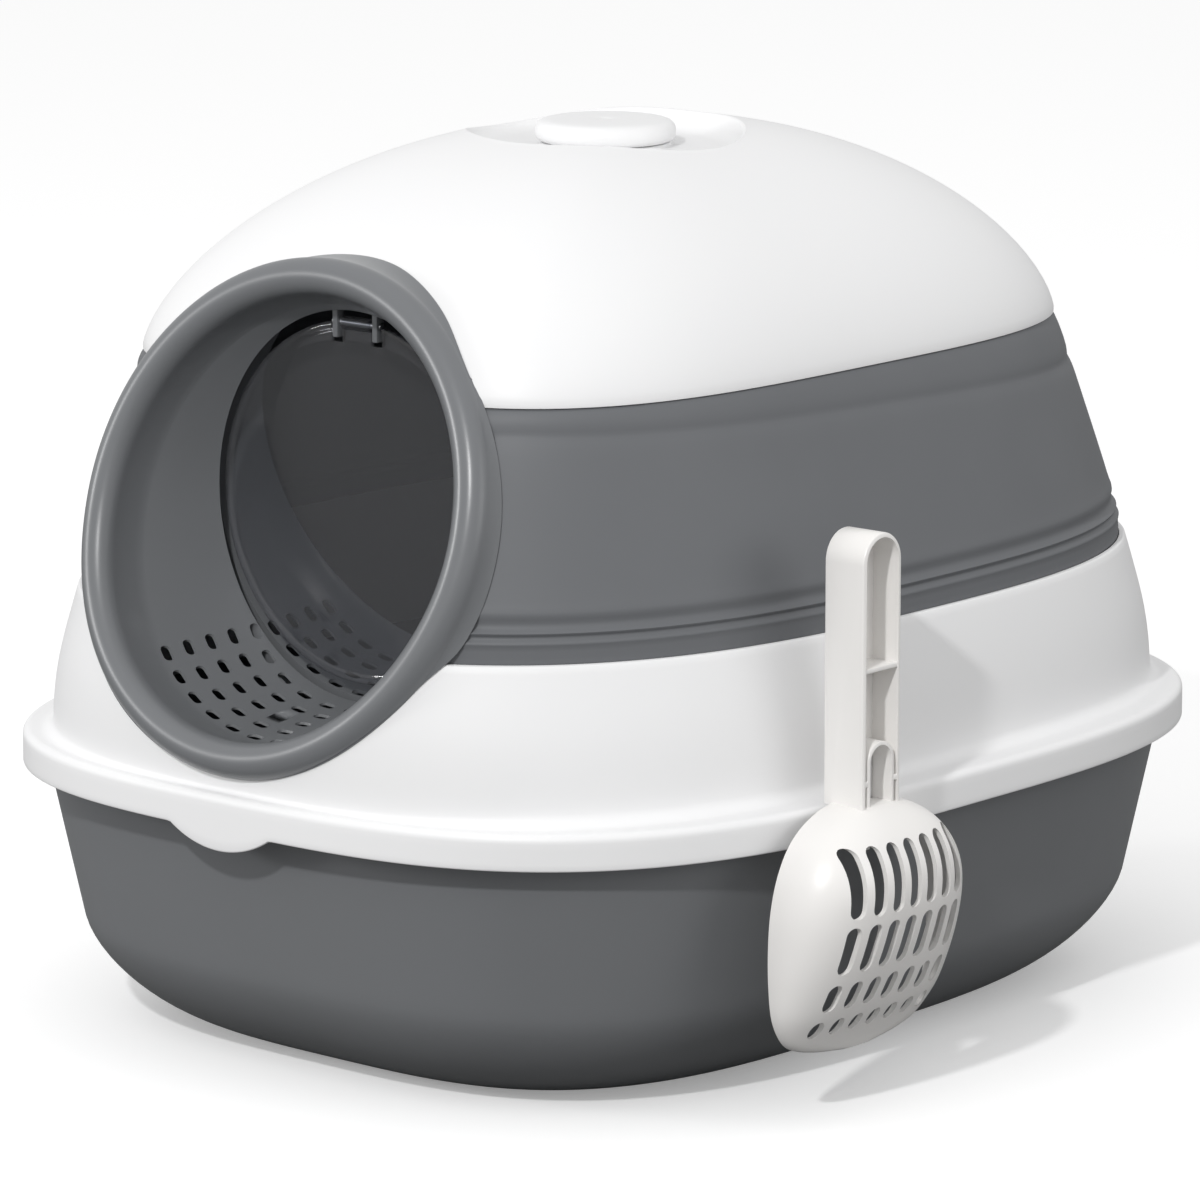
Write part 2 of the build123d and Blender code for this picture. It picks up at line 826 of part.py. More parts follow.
with BuildPart() as handle_block:
    with BuildSketch(Plane.YZ.offset(handle_back_x)):
        arch(handle_half, handle_center)
    extrude(amount=scoop_outer_x - handle_back_x)
    fillet(edges().group_by(Axis.X)[0], handle_edge_radius)
    with BuildSketch(Plane.YZ.offset(handle_back_x)):
        arch(channel_half, handle_center)
    extrude(amount=scoop_channel_x - web_thickness - handle_back_x, mode=Mode.SUBTRACT)
    with Locations((scoop_inner_x, scoop_y, arch_foot)):
        Box(
            handle_depth,
            2 * handle_width,
            handle_foot - arch_foot,
            align=(Align.MAX, Align.CENTER, Align.MIN),
            mode=Mode.SUBTRACT,
        )
    with BuildSketch(Plane.YZ.offset(scoop_channel_x)):
        arch(channel_half, handle_center)
    extrude(amount=channel_depth, mode=Mode.SUBTRACT)
    with Locations((scoop_channel_x, scoop_y, cross_rib_height)):
        Box(
            channel_depth,
            2 * channel_half,
            channel_wall,
            align=(Align.MIN, Align.CENTER, Align.CENTER),
        )
    with BuildSketch(Plane.YZ.offset(scoop_inner_x)):
        arch(tongue_half_width, tongue_center)
    extrude(amount=handle_depth)
    with Locations((scoop_outer_x, scoop_y, nub_height)):
        Box(
            nub_depth,
            2 * channel_half,
            nub_size,
            align=(Align.MAX, Align.CENTER, Align.CENTER),
        )
    with BuildSketch(Plane.YZ.offset(scoop_channel_x)):
        arch(tongue_inner, tongue_center)
    extrude(amount=channel_depth, mode=Mode.SUBTRACT)

with BuildPart() as scoop:
    add(handle_block.part)
    add(blade_form(0))
    add(blade_form(scoop_wall), mode=Mode.SUBTRACT)
    with Locations((scoop_channel_x, scoop_y, arch_foot)):
        Box(
            2 * channel_depth,
            2 * tongue_inner,
            hook_arm_bottom + hook_arm_height + seat_gap - arch_foot,
            align=(Align.MAX, Align.CENTER, Align.MIN),
            mode=Mode.SUBTRACT,
        )
        Box(
            hook_outer_x - scoop_channel_x + moving_gap,
            2 * tongue_inner,
            tongue_center - arch_foot,
            align=(Align.MIN, Align.CENTER, Align.MIN),
            mode=Mode.SUBTRACT,
        )
    with BuildSketch(Plane.YZ.offset(scoop_inner_x)):
        for low, high in slot_rows:
            for column in range(slot_columns):
                place = column - (slot_columns - 1) / 2
                middle = (low + high) / 2
                across = place * (slot_pitch - slot_fan * (middle - slot_fan_height))
                lean = degrees(atan(place * slot_fan))
                with Locations((slot_center_y + across, middle)):
                    SlotOverall(high - low, slot_width, rotation=90 + lean)
    extrude(amount=2 * handle_depth + channel_depth, mode=Mode.SUBTRACT)
scoop.part.label = "scoop"

os.makedirs("parts", exist_ok=True)
for piece in (
    base_tray,
    hood_lower,
    folding_band,
    top_dome,
    filter_cap,
    filter_basket,
    charcoal_pad,
    entrance_front_ring,
    entrance_rear_ring,
    ring_screws,
    flap_panel,
    hinge_pin,
    scoop,
):
    export_step(piece.part, f"parts/{piece.part.label}.step")
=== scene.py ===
# Covered litter box with a folding hood: a deep slate tray, a white lower hood with a rolled
# rim, a soft slate band, a white dome with a filter knob, a round tilted entrance with a clear
# flap, and a white scoop on a hook at the right side. The sections follow the order in which
# the object is put together. Sizes in the sections are millimetres; +Z is up and the entrance
# faces -Y.
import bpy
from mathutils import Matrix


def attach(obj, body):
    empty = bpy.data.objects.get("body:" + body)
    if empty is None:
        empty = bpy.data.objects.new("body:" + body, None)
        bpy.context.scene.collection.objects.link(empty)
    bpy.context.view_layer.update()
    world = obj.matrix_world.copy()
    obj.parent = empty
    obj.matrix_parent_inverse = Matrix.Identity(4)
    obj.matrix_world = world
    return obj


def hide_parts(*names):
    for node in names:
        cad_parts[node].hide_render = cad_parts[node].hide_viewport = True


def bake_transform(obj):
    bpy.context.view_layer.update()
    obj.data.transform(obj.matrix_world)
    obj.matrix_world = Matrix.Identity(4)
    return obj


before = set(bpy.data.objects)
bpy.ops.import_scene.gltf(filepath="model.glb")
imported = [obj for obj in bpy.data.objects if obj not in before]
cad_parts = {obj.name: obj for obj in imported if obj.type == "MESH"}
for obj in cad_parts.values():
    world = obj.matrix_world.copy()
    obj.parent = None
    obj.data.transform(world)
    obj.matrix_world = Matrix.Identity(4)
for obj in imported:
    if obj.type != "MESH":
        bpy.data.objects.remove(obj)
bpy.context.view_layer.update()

import math

import bmesh
import bpy
import numpy as np
from mathutils import Matrix, Vector


# ---------------------------------------------------------------------------------------------
# Base tray. A deep bin with rounded lower corners, leaning walls and a rolled rim that the hood
# sits on. Injection moulded polypropylene, slate, with a fine eroded grain.

ring_columns = 720


def evenly(x, y, count, closed):
    """Points evenly spaced along a line; a closed line stops one short of its first point."""
    run = np.concatenate([[0], np.cumsum(np.hypot(np.diff(x), np.diff(y)))])
    share = np.linspace(0, run[-1], count, endpoint=not closed)
    return np.stack([np.interp(share, run, x), np.interp(share, run, y)], axis=1)


def oval_ring(half_x, half_y, power, front_power=None):
    """Points evenly spaced round a squarish oval; the front half may have its own squareness."""
    turn = np.linspace(0, 2 * np.pi, 6001)
    across, along = np.cos(turn), np.sin(turn)
    square = np.where(along < 0, front_power or power, power)
    x = half_x * np.sign(across) * np.abs(across) ** (2 / square)
    y = half_y * np.sign(along) * np.abs(along) ** (2 / square)
    return evenly(x, y, ring_columns, closed=True)


def raised(ring, height):
    """A flat ring lifted to one height, or to a height for each column."""
    return np.column_stack([ring, np.broadcast_to(height, len(ring))])


def added(name, data):
    """A new object that holds the data, put into the scene."""
    item = bpy.data.objects.new(name, data)
    bpy.context.scene.collection.objects.link(item)
    return item


def mesh_piece(name, points, faces):
    """A piece from points in millimetres and faces."""
    mesh = bpy.data.meshes.new(name)
    mesh.from_pydata((np.asarray(points, float).reshape(-1, 3) / 1000).tolist(), [], faces)
    return added(name, mesh)


def skin(name, rings, closed=False, cap_first=False, cap_last=False):
    """A piece through stacked rings of points, with its faces outwards."""
    rings = np.asarray(rings, float)
    rows, columns, _ = rings.shape
    index = np.arange(rows * columns).reshape(rows, columns)
    follow = np.roll(index, -1, axis=1)
    last = rows if closed else rows - 1
    faces = []
    for row in range(last):
        above = (row + 1) % rows
        faces.extend(np.stack([index[row], follow[row], follow[above], index[above]], axis=1).tolist())
    if cap_first:
        faces.append(index[0][::-1].tolist())
    if cap_last:
        faces.append(index[-1].tolist())
    return tidy_mesh(mesh_piece(name, rings, faces))


def tidy_mesh(piece, merge=0.00002):
    """Merges doubled points and turns every face outwards."""
    work = bmesh.new()
    work.from_mesh(piece.data)
    bmesh.ops.remove_doubles(work, verts=work.verts, dist=merge)
    bmesh.ops.dissolve_degenerate(work, edges=work.edges, dist=0.000001)
    bmesh.ops.recalc_face_normals(work, faces=work.faces)
    work.to_mesh(piece.data)
    work.free()
    return piece


def dress(piece, material, body, angle=38):
    """Gives a piece its material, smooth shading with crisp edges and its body."""
    piece.data.materials.clear()
    piece.data.materials.append(material)
    piece.data.shade_smooth()
    piece.data.set_sharp_from_angle(angle=math.radians(angle))
    if body:
        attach(piece, body)
    return piece


def linear(hex_colour):
    """An sRGB hex colour as linear red, green, blue and alpha."""
    parts = [int(hex_colour[place:place + 2], 16) / 255 for place in (1, 3, 5)]
    return [part / 12.92 if part <= 0.04045 else ((part + 0.055) / 1.055) ** 2.4 for part in parts] + [1.0]


def add_node(tree, kind, settings=None, inputs=None):
    """Adds one node; an input is given a value, or a socket to link from."""
    node = tree.nodes.new(kind)
    for key, value in (settings or {}).items():
        setattr(node, key, value)
    for key, value in (inputs or {}).items():
        if isinstance(value, bpy.types.NodeSocket):
            tree.links.new(value, node.inputs[key])
        else:
            node.inputs[key].default_value = value
    return node


def new_material(name):
    """A new material, and its node tree with nothing in it."""
    material = bpy.data.materials.new(name)
    material.use_nodes = True
    material.node_tree.nodes.clear()
    return material, material.node_tree


def moulded(name, colour, shade, roughness, grain, depth, coat=0.0, specular=0.5):
    """Moulded plastic: grain is the size of the eroded texture and depth its height, in mm.

    colour and shade are the two ends of a faint cloudiness of the pigment.
    """
    material, tree = new_material(name)
    place = add_node(tree, "ShaderNodeTexCoord").outputs["Object"]
    cloud = add_node(tree, "ShaderNodeTexNoise", {}, {"Vector": place, "Scale": 1000 / 70, "Detail": 3.0})
    tint = add_node(tree, "ShaderNodeMix", {"data_type": "RGBA"}, {
        "Factor": cloud.outputs["Fac"], "A": linear(colour), "B": linear(shade)})
    fine = add_node(tree, "ShaderNodeTexNoise", {}, {
        "Vector": place, "Scale": 1000 / grain, "Detail": 2.0, "Roughness": 0.6})
    rough = add_node(tree, "ShaderNodeMapRange", {}, {
        "Value": cloud.outputs["Fac"], "From Min": 0.3, "From Max": 0.7,
        "To Min": roughness - 0.03, "To Max": roughness + 0.03})
    bump = add_node(tree, "ShaderNodeBump", {}, {
        "Height": fine.outputs["Fac"], "Distance": depth / 1000, "Strength": 1.0})
    shader = add_node(tree, "ShaderNodeBsdfPrincipled", {}, {
        "Base Color": tint.outputs[2], "Roughness": rough.outputs["Result"], "Normal": bump.outputs["Normal"],
        "IOR": 1.49, "Specular IOR Level": specular, "Coat Weight": coat, "Coat Roughness": 0.25})
    add_node(tree, "ShaderNodeOutputMaterial", {}, {"Surface": shader.outputs["BSDF"]})
    return material


# Slate polypropylene, satin from the mould's eroded grain: soft wide highlights and no mirror.
# The real grain is about 0.2 mm; it is drawn at 0.9 mm so that it shows.
slate_polypropylene = moulded("slate_polypropylene_moulded", "#747679", "#707274", 0.46, 0.9, 0.022)

tray_half = (202.6, 244.3)
tray_squareness = 3.34
tray_draft = 22.3
tray_corner_size = 46.7
tray_corner_power = 1.7
tray_wall = 3.0
hood_edge_height = 118.8
# Height and inset of the rolled rim: out over a small fillet, round its edge and back in.
tray_rim = ((127.6, -1.75), (128.5, -2.3), (128.9, -3.4), (129.0, -5.0), (129.4, -5.8), (130.2, -6.0),
            (131.0, -5.9), (131.6, -5.3), (131.9, -4.4), (131.9, 0.2), (131.6, 0.75), (131.0, 0.95))


def tray_lean(height):
    """How far the wall stands in from its line at the hood's edge, at a height."""
    return tray_draft * (1 - height / hood_edge_height)


def tray_ring(height, inset):
    return raised(oval_ring(tray_half[0] - inset, tray_half[1] - inset, tray_squareness), height)


def tray_corner(step):
    """Height and inset of the rounded lower corner, from its foot at step 0 to its top at 1."""
    drop = math.cos(step * math.pi / 2)
    return tray_corner_size * (1 - drop), tray_corner_size * (
        1 - (1 - drop ** tray_corner_power) ** (1 / tray_corner_power))


tray_rings = []
for step in np.linspace(0, 1, 19):
    height, round_in = tray_corner(step)
    tray_rings.append(tray_ring(height, round_in + tray_lean(height)))
for height in np.linspace(52, 126, 16):
    tray_rings.append(tray_ring(height, tray_lean(height)))
for height, inset in tray_rim:
    tray_rings.append(tray_ring(height, inset))
for height in np.linspace(126, 52, 12):
    tray_rings.append(tray_ring(height, tray_lean(height) + tray_wall))
for step in np.linspace(1, 0, 15):
    height, round_in = tray_corner(step)
    tray_rings.append(tray_ring(
        tray_wall + height * (hood_edge_height - tray_wall) / hood_edge_height,
        round_in + tray_lean(height) + tray_wall))
base_tray = skin("tray_shell", tray_rings, cap_first=True, cap_last=True)
dress(base_tray, slate_polypropylene, "tray")
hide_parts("base_tray")


# ---------------------------------------------------------------------------------------------
# Lower hood. A white shell with a wide rolled rim that drops over the tray, a small pull tab in
# the rim's lower edge at the front, and a hook on its right side that carries the scoop.
# Injection moulded polypropylene; the entrance's hole is cut square to its tilted axis.

# White polypropylene with a satin mould finish: bright and even, with only a wide soft sheen.
white_polypropylene = moulded("white_polypropylene_moulded", "#ececec", "#eaeaeb", 0.5, 1.1, 0.012)

rim_half = (215.0, 260.0, 3.07)
rim_top = 134.7
rim_edge_radius = 3.4
hood_wall = 2.6
# Height, half width, half length and squareness, at the back and at the front, of the hood's
# walls from the ledge to the dome's seam.
hood_levels = np.array((
    (124.0, 196.6, 252.6, 3.06, 3.06), (134.7, 197.2, 253.1, 3.05, 3.05), (150.0, 197.3, 253.8, 3.0, 3.0),
    (170.0, 195.7, 253.5, 2.9, 2.9), (186.0, 193.1, 251.9, 2.81, 2.81), (202.0, 189.5, 249.0, 2.76, 2.76),
    (215.0, 185.9, 245.5, 2.75, 2.78), (230.0, 181.3, 240.6, 2.78, 2.84), (245.0, 176.3, 234.9, 2.83, 2.93),
    (260.0, 171.1, 228.6, 2.9, 3.06), (275.0, 165.8, 222.0, 2.99, 3.22), (290.0, 160.6, 215.3, 3.09, 3.4),
    (306.5, 154.8, 208.0, 3.2, 3.6), (315.0, 152.3, 204.3, 3.2, 3.6), (325.0, 148.7, 199.4, 3.2, 3.6)))
dome_half = (154.8, 208.0)
dome_base = 306.5
dome_rise = 96.9
dome_shape = (2.115, 1.531)


def wall_form(height):
    """Half width, half length and both squarenesses of the hood at a height."""
    table = hood_levels
    row = int(np.clip(np.searchsorted(table[:, 0], height) - 1, 1, len(table) - 3))
    four = table[row - 1:row + 3]
    result = []
    for column in range(1, 5):
        result.append(sum(
            four[k, column] * math.prod(
                (height - four[other, 0]) / (four[k, 0] - four[other, 0]) for other in range(4) if other != k)
            for k in range(4)))
    return result


def wall_ring(height, inset=0.0):
    half_x, half_y, back_power, front_power = wall_form(height)
    return oval_ring(half_x - inset, half_y - inset, back_power, front_power)


def hood_sides(heights, inset):
    """One point of the hood's side for each column, at that column's own height."""
    heights = np.asarray(heights, float)
    levels = np.arange(heights.min() - 1, heights.max() + 3, 1.5)
    stack = np.array([wall_ring(level, inset) for level in levels])
    place = (heights - levels[0]) / 1.5
    low = np.clip(place.astype(int), 0, len(levels) - 2)
    share = (place - low)[:, None]
    column = np.arange(len(heights))
    return np.column_stack([stack[low, column] * (1 - share) + stack[low + 1, column] * share, heights])


tab_half = 29.4
tab_drop = 8.8
tab_radius = (tab_half ** 2 + tab_drop ** 2) / (2 * tab_drop)


def skirt_ring(height, inset, hang=0.0):
    """The rim's outline at a height; hang is the share of the pull tab's drop that it follows."""
    ring = oval_ring(rim_half[0] - inset, rim_half[1] - inset, rim_half[2])
    front = (ring[:, 1] < 0) & (np.abs(ring[:, 0]) < tab_half)
    sag = np.zeros(len(ring))
    sag[front] = np.sqrt(tab_radius ** 2 - ring[front, 0] ** 2) - (tab_radius - tab_drop)
    return raised(ring, height - hang * sag)


# Height, inset and share of the pull tab, up the rim's outside and down its inside.
skirt_outside = ((118.8, 0.9, 1), (118.85, 0.45, 1), (119.1, 0.15, 1), (119.6, 0, 1), (121.875, 0, 0.75),
                 (122.25, 0, 0.5), (122.625, 0, 0.25), (125.0, 0, 0), (128.0, 0, 0), (130.8, 0, 0))
skirt_inside = ((132.2, 4.0, 0), (131.6, 2.8, 0), (130.5, hood_wall, 0), (125, hood_wall, 0),
                (122.5, hood_wall, 0.5), (119.8, hood_wall, 1), (119.0, hood_wall - 0.3, 1))
hood_rings = [skirt_ring(*row) for row in skirt_outside]
for turn in np.radians((15, 30, 45, 60, 75, 90)):
    hood_rings.append(skirt_ring(
        rim_top - rim_edge_radius * (1 - math.sin(turn)), rim_edge_radius * (1 - math.cos(turn))))
# The ledge runs in to the wall, and a hollow fillet turns it up, as wide as the ledge allows.
rim_line = oval_ring(*rim_half)
foot_line = wall_ring(rim_top)
inward = foot_line - rim_line
ledge_width = np.linalg.norm(inward, axis=1)
inward /= ledge_width[:, None]
fillet = np.clip(0.62 * (ledge_width - rim_edge_radius), 0.8, 6.0)
for share in (0.35, 0.7, 1.0):
    reach = rim_edge_radius + (ledge_width - fillet - rim_edge_radius) * share
    hood_rings.append(raised(rim_line + inward * reach[:, None], rim_top))
for turn in np.radians((15, 30, 45, 60, 75)):
    reach = ledge_width - fillet + fillet * math.sin(turn)
    hood_rings.append(raised(rim_line + inward * reach[:, None], rim_top + fillet * (1 - math.cos(turn))))
for share in np.linspace(0, 1, 22):
    heights = (rim_top + fillet) * (1 - share) + 201.3 * share
    hood_rings.append(hood_sides(heights, 0))
hood_rings += [raised(wall_ring(201.8, 0.25), 201.8), raised(wall_ring(202, 0.7), 202.0),
               raised(wall_ring(202, 2.3), 202.0), raised(wall_ring(201.7, hood_wall), 201.7)]
for height in np.linspace(195, 140, 10):
    hood_rings.append(raised(wall_ring(height, hood_wall), height))
hood_rings += [raised(wall_ring(134, hood_wall), 133.4), raised(wall_ring(134, hood_wall - 0.8), 132.2)]
hood_rings += [skirt_ring(*row) for row in skirt_inside]
lower_hood = skin("lower_hood_shell", hood_rings, closed=True)

entrance_center = np.array((0.0, -217.6, 250.0))
entrance_tilt = math.radians(17.4)
outward = np.array((0.0, -math.cos(entrance_tilt), math.sin(entrance_tilt)))
upward = np.array((0.0, math.sin(entrance_tilt), math.cos(entrance_tilt)))
sideways = np.array((1.0, 0.0, 0.0))
opening_radius = 110.0


def full_turn(count):
    """Evenly spaced angles once round, in radians."""
    return np.linspace(0, 2 * np.pi, count, endpoint=False)


def on_entrance(radius, turn, depth):
    """Points at a radius and angle round the entrance's axis, at a depth behind the lip."""
    radius, turn, depth = np.broadcast_arrays(
        np.asarray(radius, float)[..., None], np.asarray(turn, float)[..., None], np.asarray(depth, float)[..., None])
    return entrance_center + radius * (np.cos(turn) * sideways + np.sin(turn) * upward) - depth * outward


def baked(piece):
    """Applies the piece's modifiers and leaves a plain mesh."""
    graph = bpy.context.evaluated_depsgraph_get()
    mesh = bpy.data.meshes.new_from_object(piece.evaluated_get(graph))
    piece.modifiers.clear()
    piece.data = mesh
    return piece


def combined(piece, other, operation):
    """Cuts another closed piece out of this one, or joins it on, and takes the other away."""
    change = piece.modifiers.new("change", "BOOLEAN")
    change.operation = operation
    change.solver = "EXACT"
    change.object = other
    baked(piece)
    bpy.data.objects.remove(other)
    return piece


def entrance_cutter():
    """A drum along the entrance's axis, to cut its hole through the shells."""
    return skin("cutter", [on_entrance(opening_radius, full_turn(240), depth) for depth in (-60, 75)],
                cap_first=True, cap_last=True)


combined(lower_hood, entrance_cutter(), "DIFFERENCE")

scoop_y = -93.3


def upright(name, half_width, centre, foot, x_low, x_high, edge=0.0):
    """A flat bar with a round top, standing across X; edge rounds its outer corners."""
    turns = np.linspace(0, np.pi, 37)
    line = [(scoop_y + half_width * math.cos(turn), centre + half_width * math.sin(turn)) for turn in turns]
    line += [(scoop_y - half_width, foot), (scoop_y + half_width, foot)]
    line = np.array(line)
    middle = np.array((scoop_y, (centre + foot) / 2))
    steps = [(x_low, edge), (x_low + edge * 0.3, edge * 0.3), (x_low + edge, 0)] if edge else [(x_low, 0)]
    steps += [(x_high - edge, 0), (x_high - edge * 0.3, edge * 0.3), (x_high, edge)] if edge else [(x_high, 0)]
    rings = []
    for x, inset in steps:
        shrink = np.array(((half_width - inset) / half_width, 1 - inset / (centre + half_width - middle[1])))
        ring = middle + (line - middle) * shrink
        rings.append(np.column_stack([np.full(len(ring), x), ring]))
    return skin(name, rings, cap_first=True, cap_last=True)


def block(name, low, high, edge=0.0):
    """A rectangular bar between two corners, with softened edges."""
    work = bmesh.new()
    bmesh.ops.create_cube(work, size=1.0)
    for corner in work.verts:
        corner.co = Vector([
            (low[axis] if corner.co[axis] < 0 else high[axis]) / 1000 for axis in range(3)])
    if edge:
        bmesh.ops.bevel(work, geom=work.edges, offset=edge / 1000, segments=2, affect="EDGES", profile=0.5)
    mesh = bpy.data.meshes.new(name)
    work.to_mesh(mesh)
    work.free()
    return tidy_mesh(added(name, mesh))


scoop_channel_x = 217.8
hook_x = (218.2, 221.2)
hook_half = 7.0
hook_arm = (126.0, 132.0)
tongue_center = 155.3
combined(lower_hood, block("hook_arm", (210.4, scoop_y - hook_half, hook_arm[0]),
                           (hook_x[1] - 0.1, scoop_y + hook_half, hook_arm[1]), 0.4), "UNION")
combined(lower_hood, upright("hook_prong", hook_half, tongue_center, hook_arm[0], *hook_x, 0.5), "UNION")
dress(lower_hood, white_polypropylene, "hood")
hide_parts("hood_lower")


# ---------------------------------------------------------------------------------------------
# Folding band. A soft skin between the two shells, clipped under both seams, with two ridges above the lower seam and
# one faint crease near the top.
# Thermoplastic elastomer, slate, duller and a little softer to the eye than the shells.

# Slate elastomer: same pigment as the shells, matt, with broad ripples left by its softness.
slate_elastomer = moulded("slate_elastomer_moulded", "#6a6c6f", "#66686b", 0.58, 1.2, 0.02, specular=0.4)

band_wall = 2.2
# Height and how far the skin stands proud of the plain wall there.
band_relief = np.array((
    (202.0, -2.8), (203.2, -2.5), (205.0, -1.9), (207.5, -1.35), (209.2, -0.95), (210.2, -0.35), (210.9, -0.05),
    (211.6, -0.35), (212.4, -1.1), (213.2, -1.35), (214.0, -0.95), (214.6, -0.2), (215.2, 0.1), (215.8, -0.25),
    (216.6, -1.15), (217.8, -1.55), (219.2, -1.3), (220.8, -0.6), (222.4, 0.1), (224.0, 0.3), (226.0, 0.1),
    (228.5, 0.0), (236.0, 0.0), (246.0, 0.0), (256.0, 0.0), (266.0, 0.0), (276.0, 0.0), (285.0, 0.0), (289.0, -0.12),
    (291.4, -0.4), (293.2, -0.8), (294.6, -0.85), (296.2, -0.5), (298.4, -0.14), (300.5, 0.0), (303.0, -0.15),
    (305.0, -0.55), (306.2, -1.1)))
# The upper crease lies nine tenths of this lower at the back.
crease_fall = 10.0


def band_line(height, inset):
    """A line round the band at a height. The upper crease lies lower towards the back."""
    level = raised(wall_ring(height, inset), height)
    lower = raised(wall_ring(height - crease_fall, inset), height - crease_fall)
    share = (np.interp(level[:, 1], (-240, -190, 150), (0.0, -0.15, 0.9))
             * np.interp(height, (262, 288, 299, 306), (0, 1, 1, 0)))
    return level + (lower - level) * share[:, None]


band_rings = [band_line(height, -proud) for height, proud in band_relief]
for height, proud in band_relief[::-1]:
    band_rings.append(band_line(height, band_wall + 0.6 - 0.5 * proud))
folding_band = skin("folding_band_skin", band_rings, closed=True)
combined(folding_band, entrance_cutter(), "DIFFERENCE")
dress(folding_band, slate_elastomer, None, 50)
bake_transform(folding_band)
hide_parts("folding_band")


# ---------------------------------------------------------------------------------------------
# Top dome. A white domed shell with a shallow round dish for the fingers and a low collar round
# the filter's hole. Injection moulded polypropylene, as the lower hood.

dish_center = np.array((0.0, -4.0))
dish_radius = 62.0
dish_floor = 390.0
dish_floor_radius = 50.0
dish_wall_radius = 61.6
# How far outside the dish's radius, and how far below its edge, its soft edge runs.
dish_edge = ((1.2, 0.12), (0.5, 0.4), (0.0, 0.85), (-0.4, 1.5))
# Radius and height: the dish's floor, the collar, the filter's bore and the floor's underside.
collar_profile = ((44, 390.0), (37, 390.0), (31.2, 390.0), (30.1, 390.15), (29.6, 390.6), (29.5, 391.2),
                  (29.2, 391.7), (28.6, 391.9), (24.2, 391.9), (23.3, 391.6), (23.0, 391.0), (23.0, 387.4),
                  (36, 387.4), (50, 387.4))


def dome_share(points):
    """Which of the dome's nested outlines a point lies on: 1 at the seam and 0 at the middle."""
    square = np.where(points[:, 1] < 0, 3.6, 3.2)
    return ((np.abs(points[:, 0]) / dome_half[0]) ** square
            + (np.abs(points[:, 1]) / dome_half[1]) ** square) ** (1 / square)


def dome_height(points):
    share = np.clip(dome_share(points), 0, 1)
    return dome_base + dome_rise * (1 - share ** dome_shape[0]) ** (1 / dome_shape[1])


def dome_ring(share, inset=0.0):
    ring = oval_ring(dome_half[0] * share - inset, dome_half[1] * share - inset, 3.2, 3.6)
    height = dome_base + (dome_rise - inset) * (1 - share ** dome_shape[0]) ** (1 / dome_shape[1])
    return raised(ring, height)


def dish_ring(ring, radius):
    """A circle round the dish's middle, each point on the ray of the ring's point."""
    ray = ring - dish_center
    return dish_center + ray * (radius / np.linalg.norm(ray, axis=1))[:, None]


dome_turns = np.radians(np.concatenate([[0.0, 3.0, 6.0, 9.5, 13.0, 17.0], np.arange(21, 61, 3.0)]))
dome_shares = np.cos(dome_turns) ** (2 / dome_shape[0])
dome_rings = [raised(wall_ring(306.5, 2.2), 306.5), raised(wall_ring(306.5, 0.7), 306.5),
              raised(wall_ring(306.7, 0.2), 306.75)]
dome_rings += [dome_ring(share) for share in dome_shares[1:]]
inner_edge = dome_rings[-1][:, :2]
for step in np.linspace(0, 1, 13)[1:]:
    ring = inner_edge * (1 - step) + dish_ring(inner_edge, dish_radius + 2.0) * step
    dome_rings.append(raised(ring, dome_height(ring)))
# Over the dish's soft edge, down its wall and across its floor to the collar and the bore.
edge_height = dome_height(dish_ring(inner_edge, dish_radius))
for outside, drop in dish_edge:
    dome_rings.append(raised(dish_ring(inner_edge, dish_radius + outside), edge_height - drop))
wall_top = edge_height - dish_edge[-1][1]
for step in np.linspace(0, 1, 10)[1:]:
    radius = dish_wall_radius - (dish_wall_radius - dish_floor_radius) * step ** 1.25
    fall = (1 - step) ** 2.2
    dome_rings.append(raised(dish_ring(inner_edge, radius), dish_floor + (wall_top - dish_floor) * fall))
for radius, height in collar_profile:
    dome_rings.append(raised(dish_ring(inner_edge, radius), height))
dome_rings.append(raised(dish_ring(inner_edge, 63.5), np.minimum(edge_height - 3.4, dish_floor + 1.5)))
for share in dome_shares[:0:-1]:
    dome_rings.append(dome_ring(share, hood_wall))
top_dome = skin("top_dome_shell", dome_rings, closed=True)
combined(top_dome, entrance_cutter(), "DIFFERENCE")
dress(top_dome, white_polypropylene, "dome")
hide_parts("top_dome")


# ---------------------------------------------------------------------------------------------
# Filter cap, basket and charcoal pad. A pillow-edged white knob in the dish lifts out with the
# slotted cup under it; a pad of charcoal felt lies in the cup. The knob and cup are moulded
# polypropylene, with the small round scar of the mould's gate in the middle of the knob.

# Radius and height of the knob's section; it dips a little at the gate's scar in its middle.
cap_profile = [(26.0, 392.2), (29.2, 392.35), (30.8, 393.0), (31.55, 394.2), (31.8, 395.6), (31.8, 397.0),
               (31.5, 398.6), (30.8, 399.9), (29.6, 400.95), (28.0, 401.55), (26.0, 401.82), (22.0, 401.95),
               (16.0, 402.0), (9.0, 402.0), (3.4, 402.0), (2.9, 401.94), (2.5, 401.72), (2.2, 401.66), (0.8, 401.66),
               (0.8, 399.5), (2.0, 399.5), (10.0, 399.5), (20.0, 399.5), (25.5, 399.4), (26.9, 398.6), (27.2, 397.0),
               (27.2, 393.2), (26.6, 392.3)]


def turned(name, profile, columns, closed=True):
    """A piece spun about the dish's vertical axis from radius and height pairs."""
    turns = full_turn(columns)
    circle = np.column_stack([np.cos(turns), np.sin(turns)])
    return skin(name, [raised(dish_center + radius * circle, height) for radius, height in profile], closed=closed)


filter_cap = turned("filter_knob", cap_profile, 192)
plug = block("knob_centre", (-1.0, -5.0, 399.5), (1.0, -3.0, 401.66))
combined(filter_cap, plug, "UNION")
dress(filter_cap, white_polypropylene, "cap")
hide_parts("filter_cap")


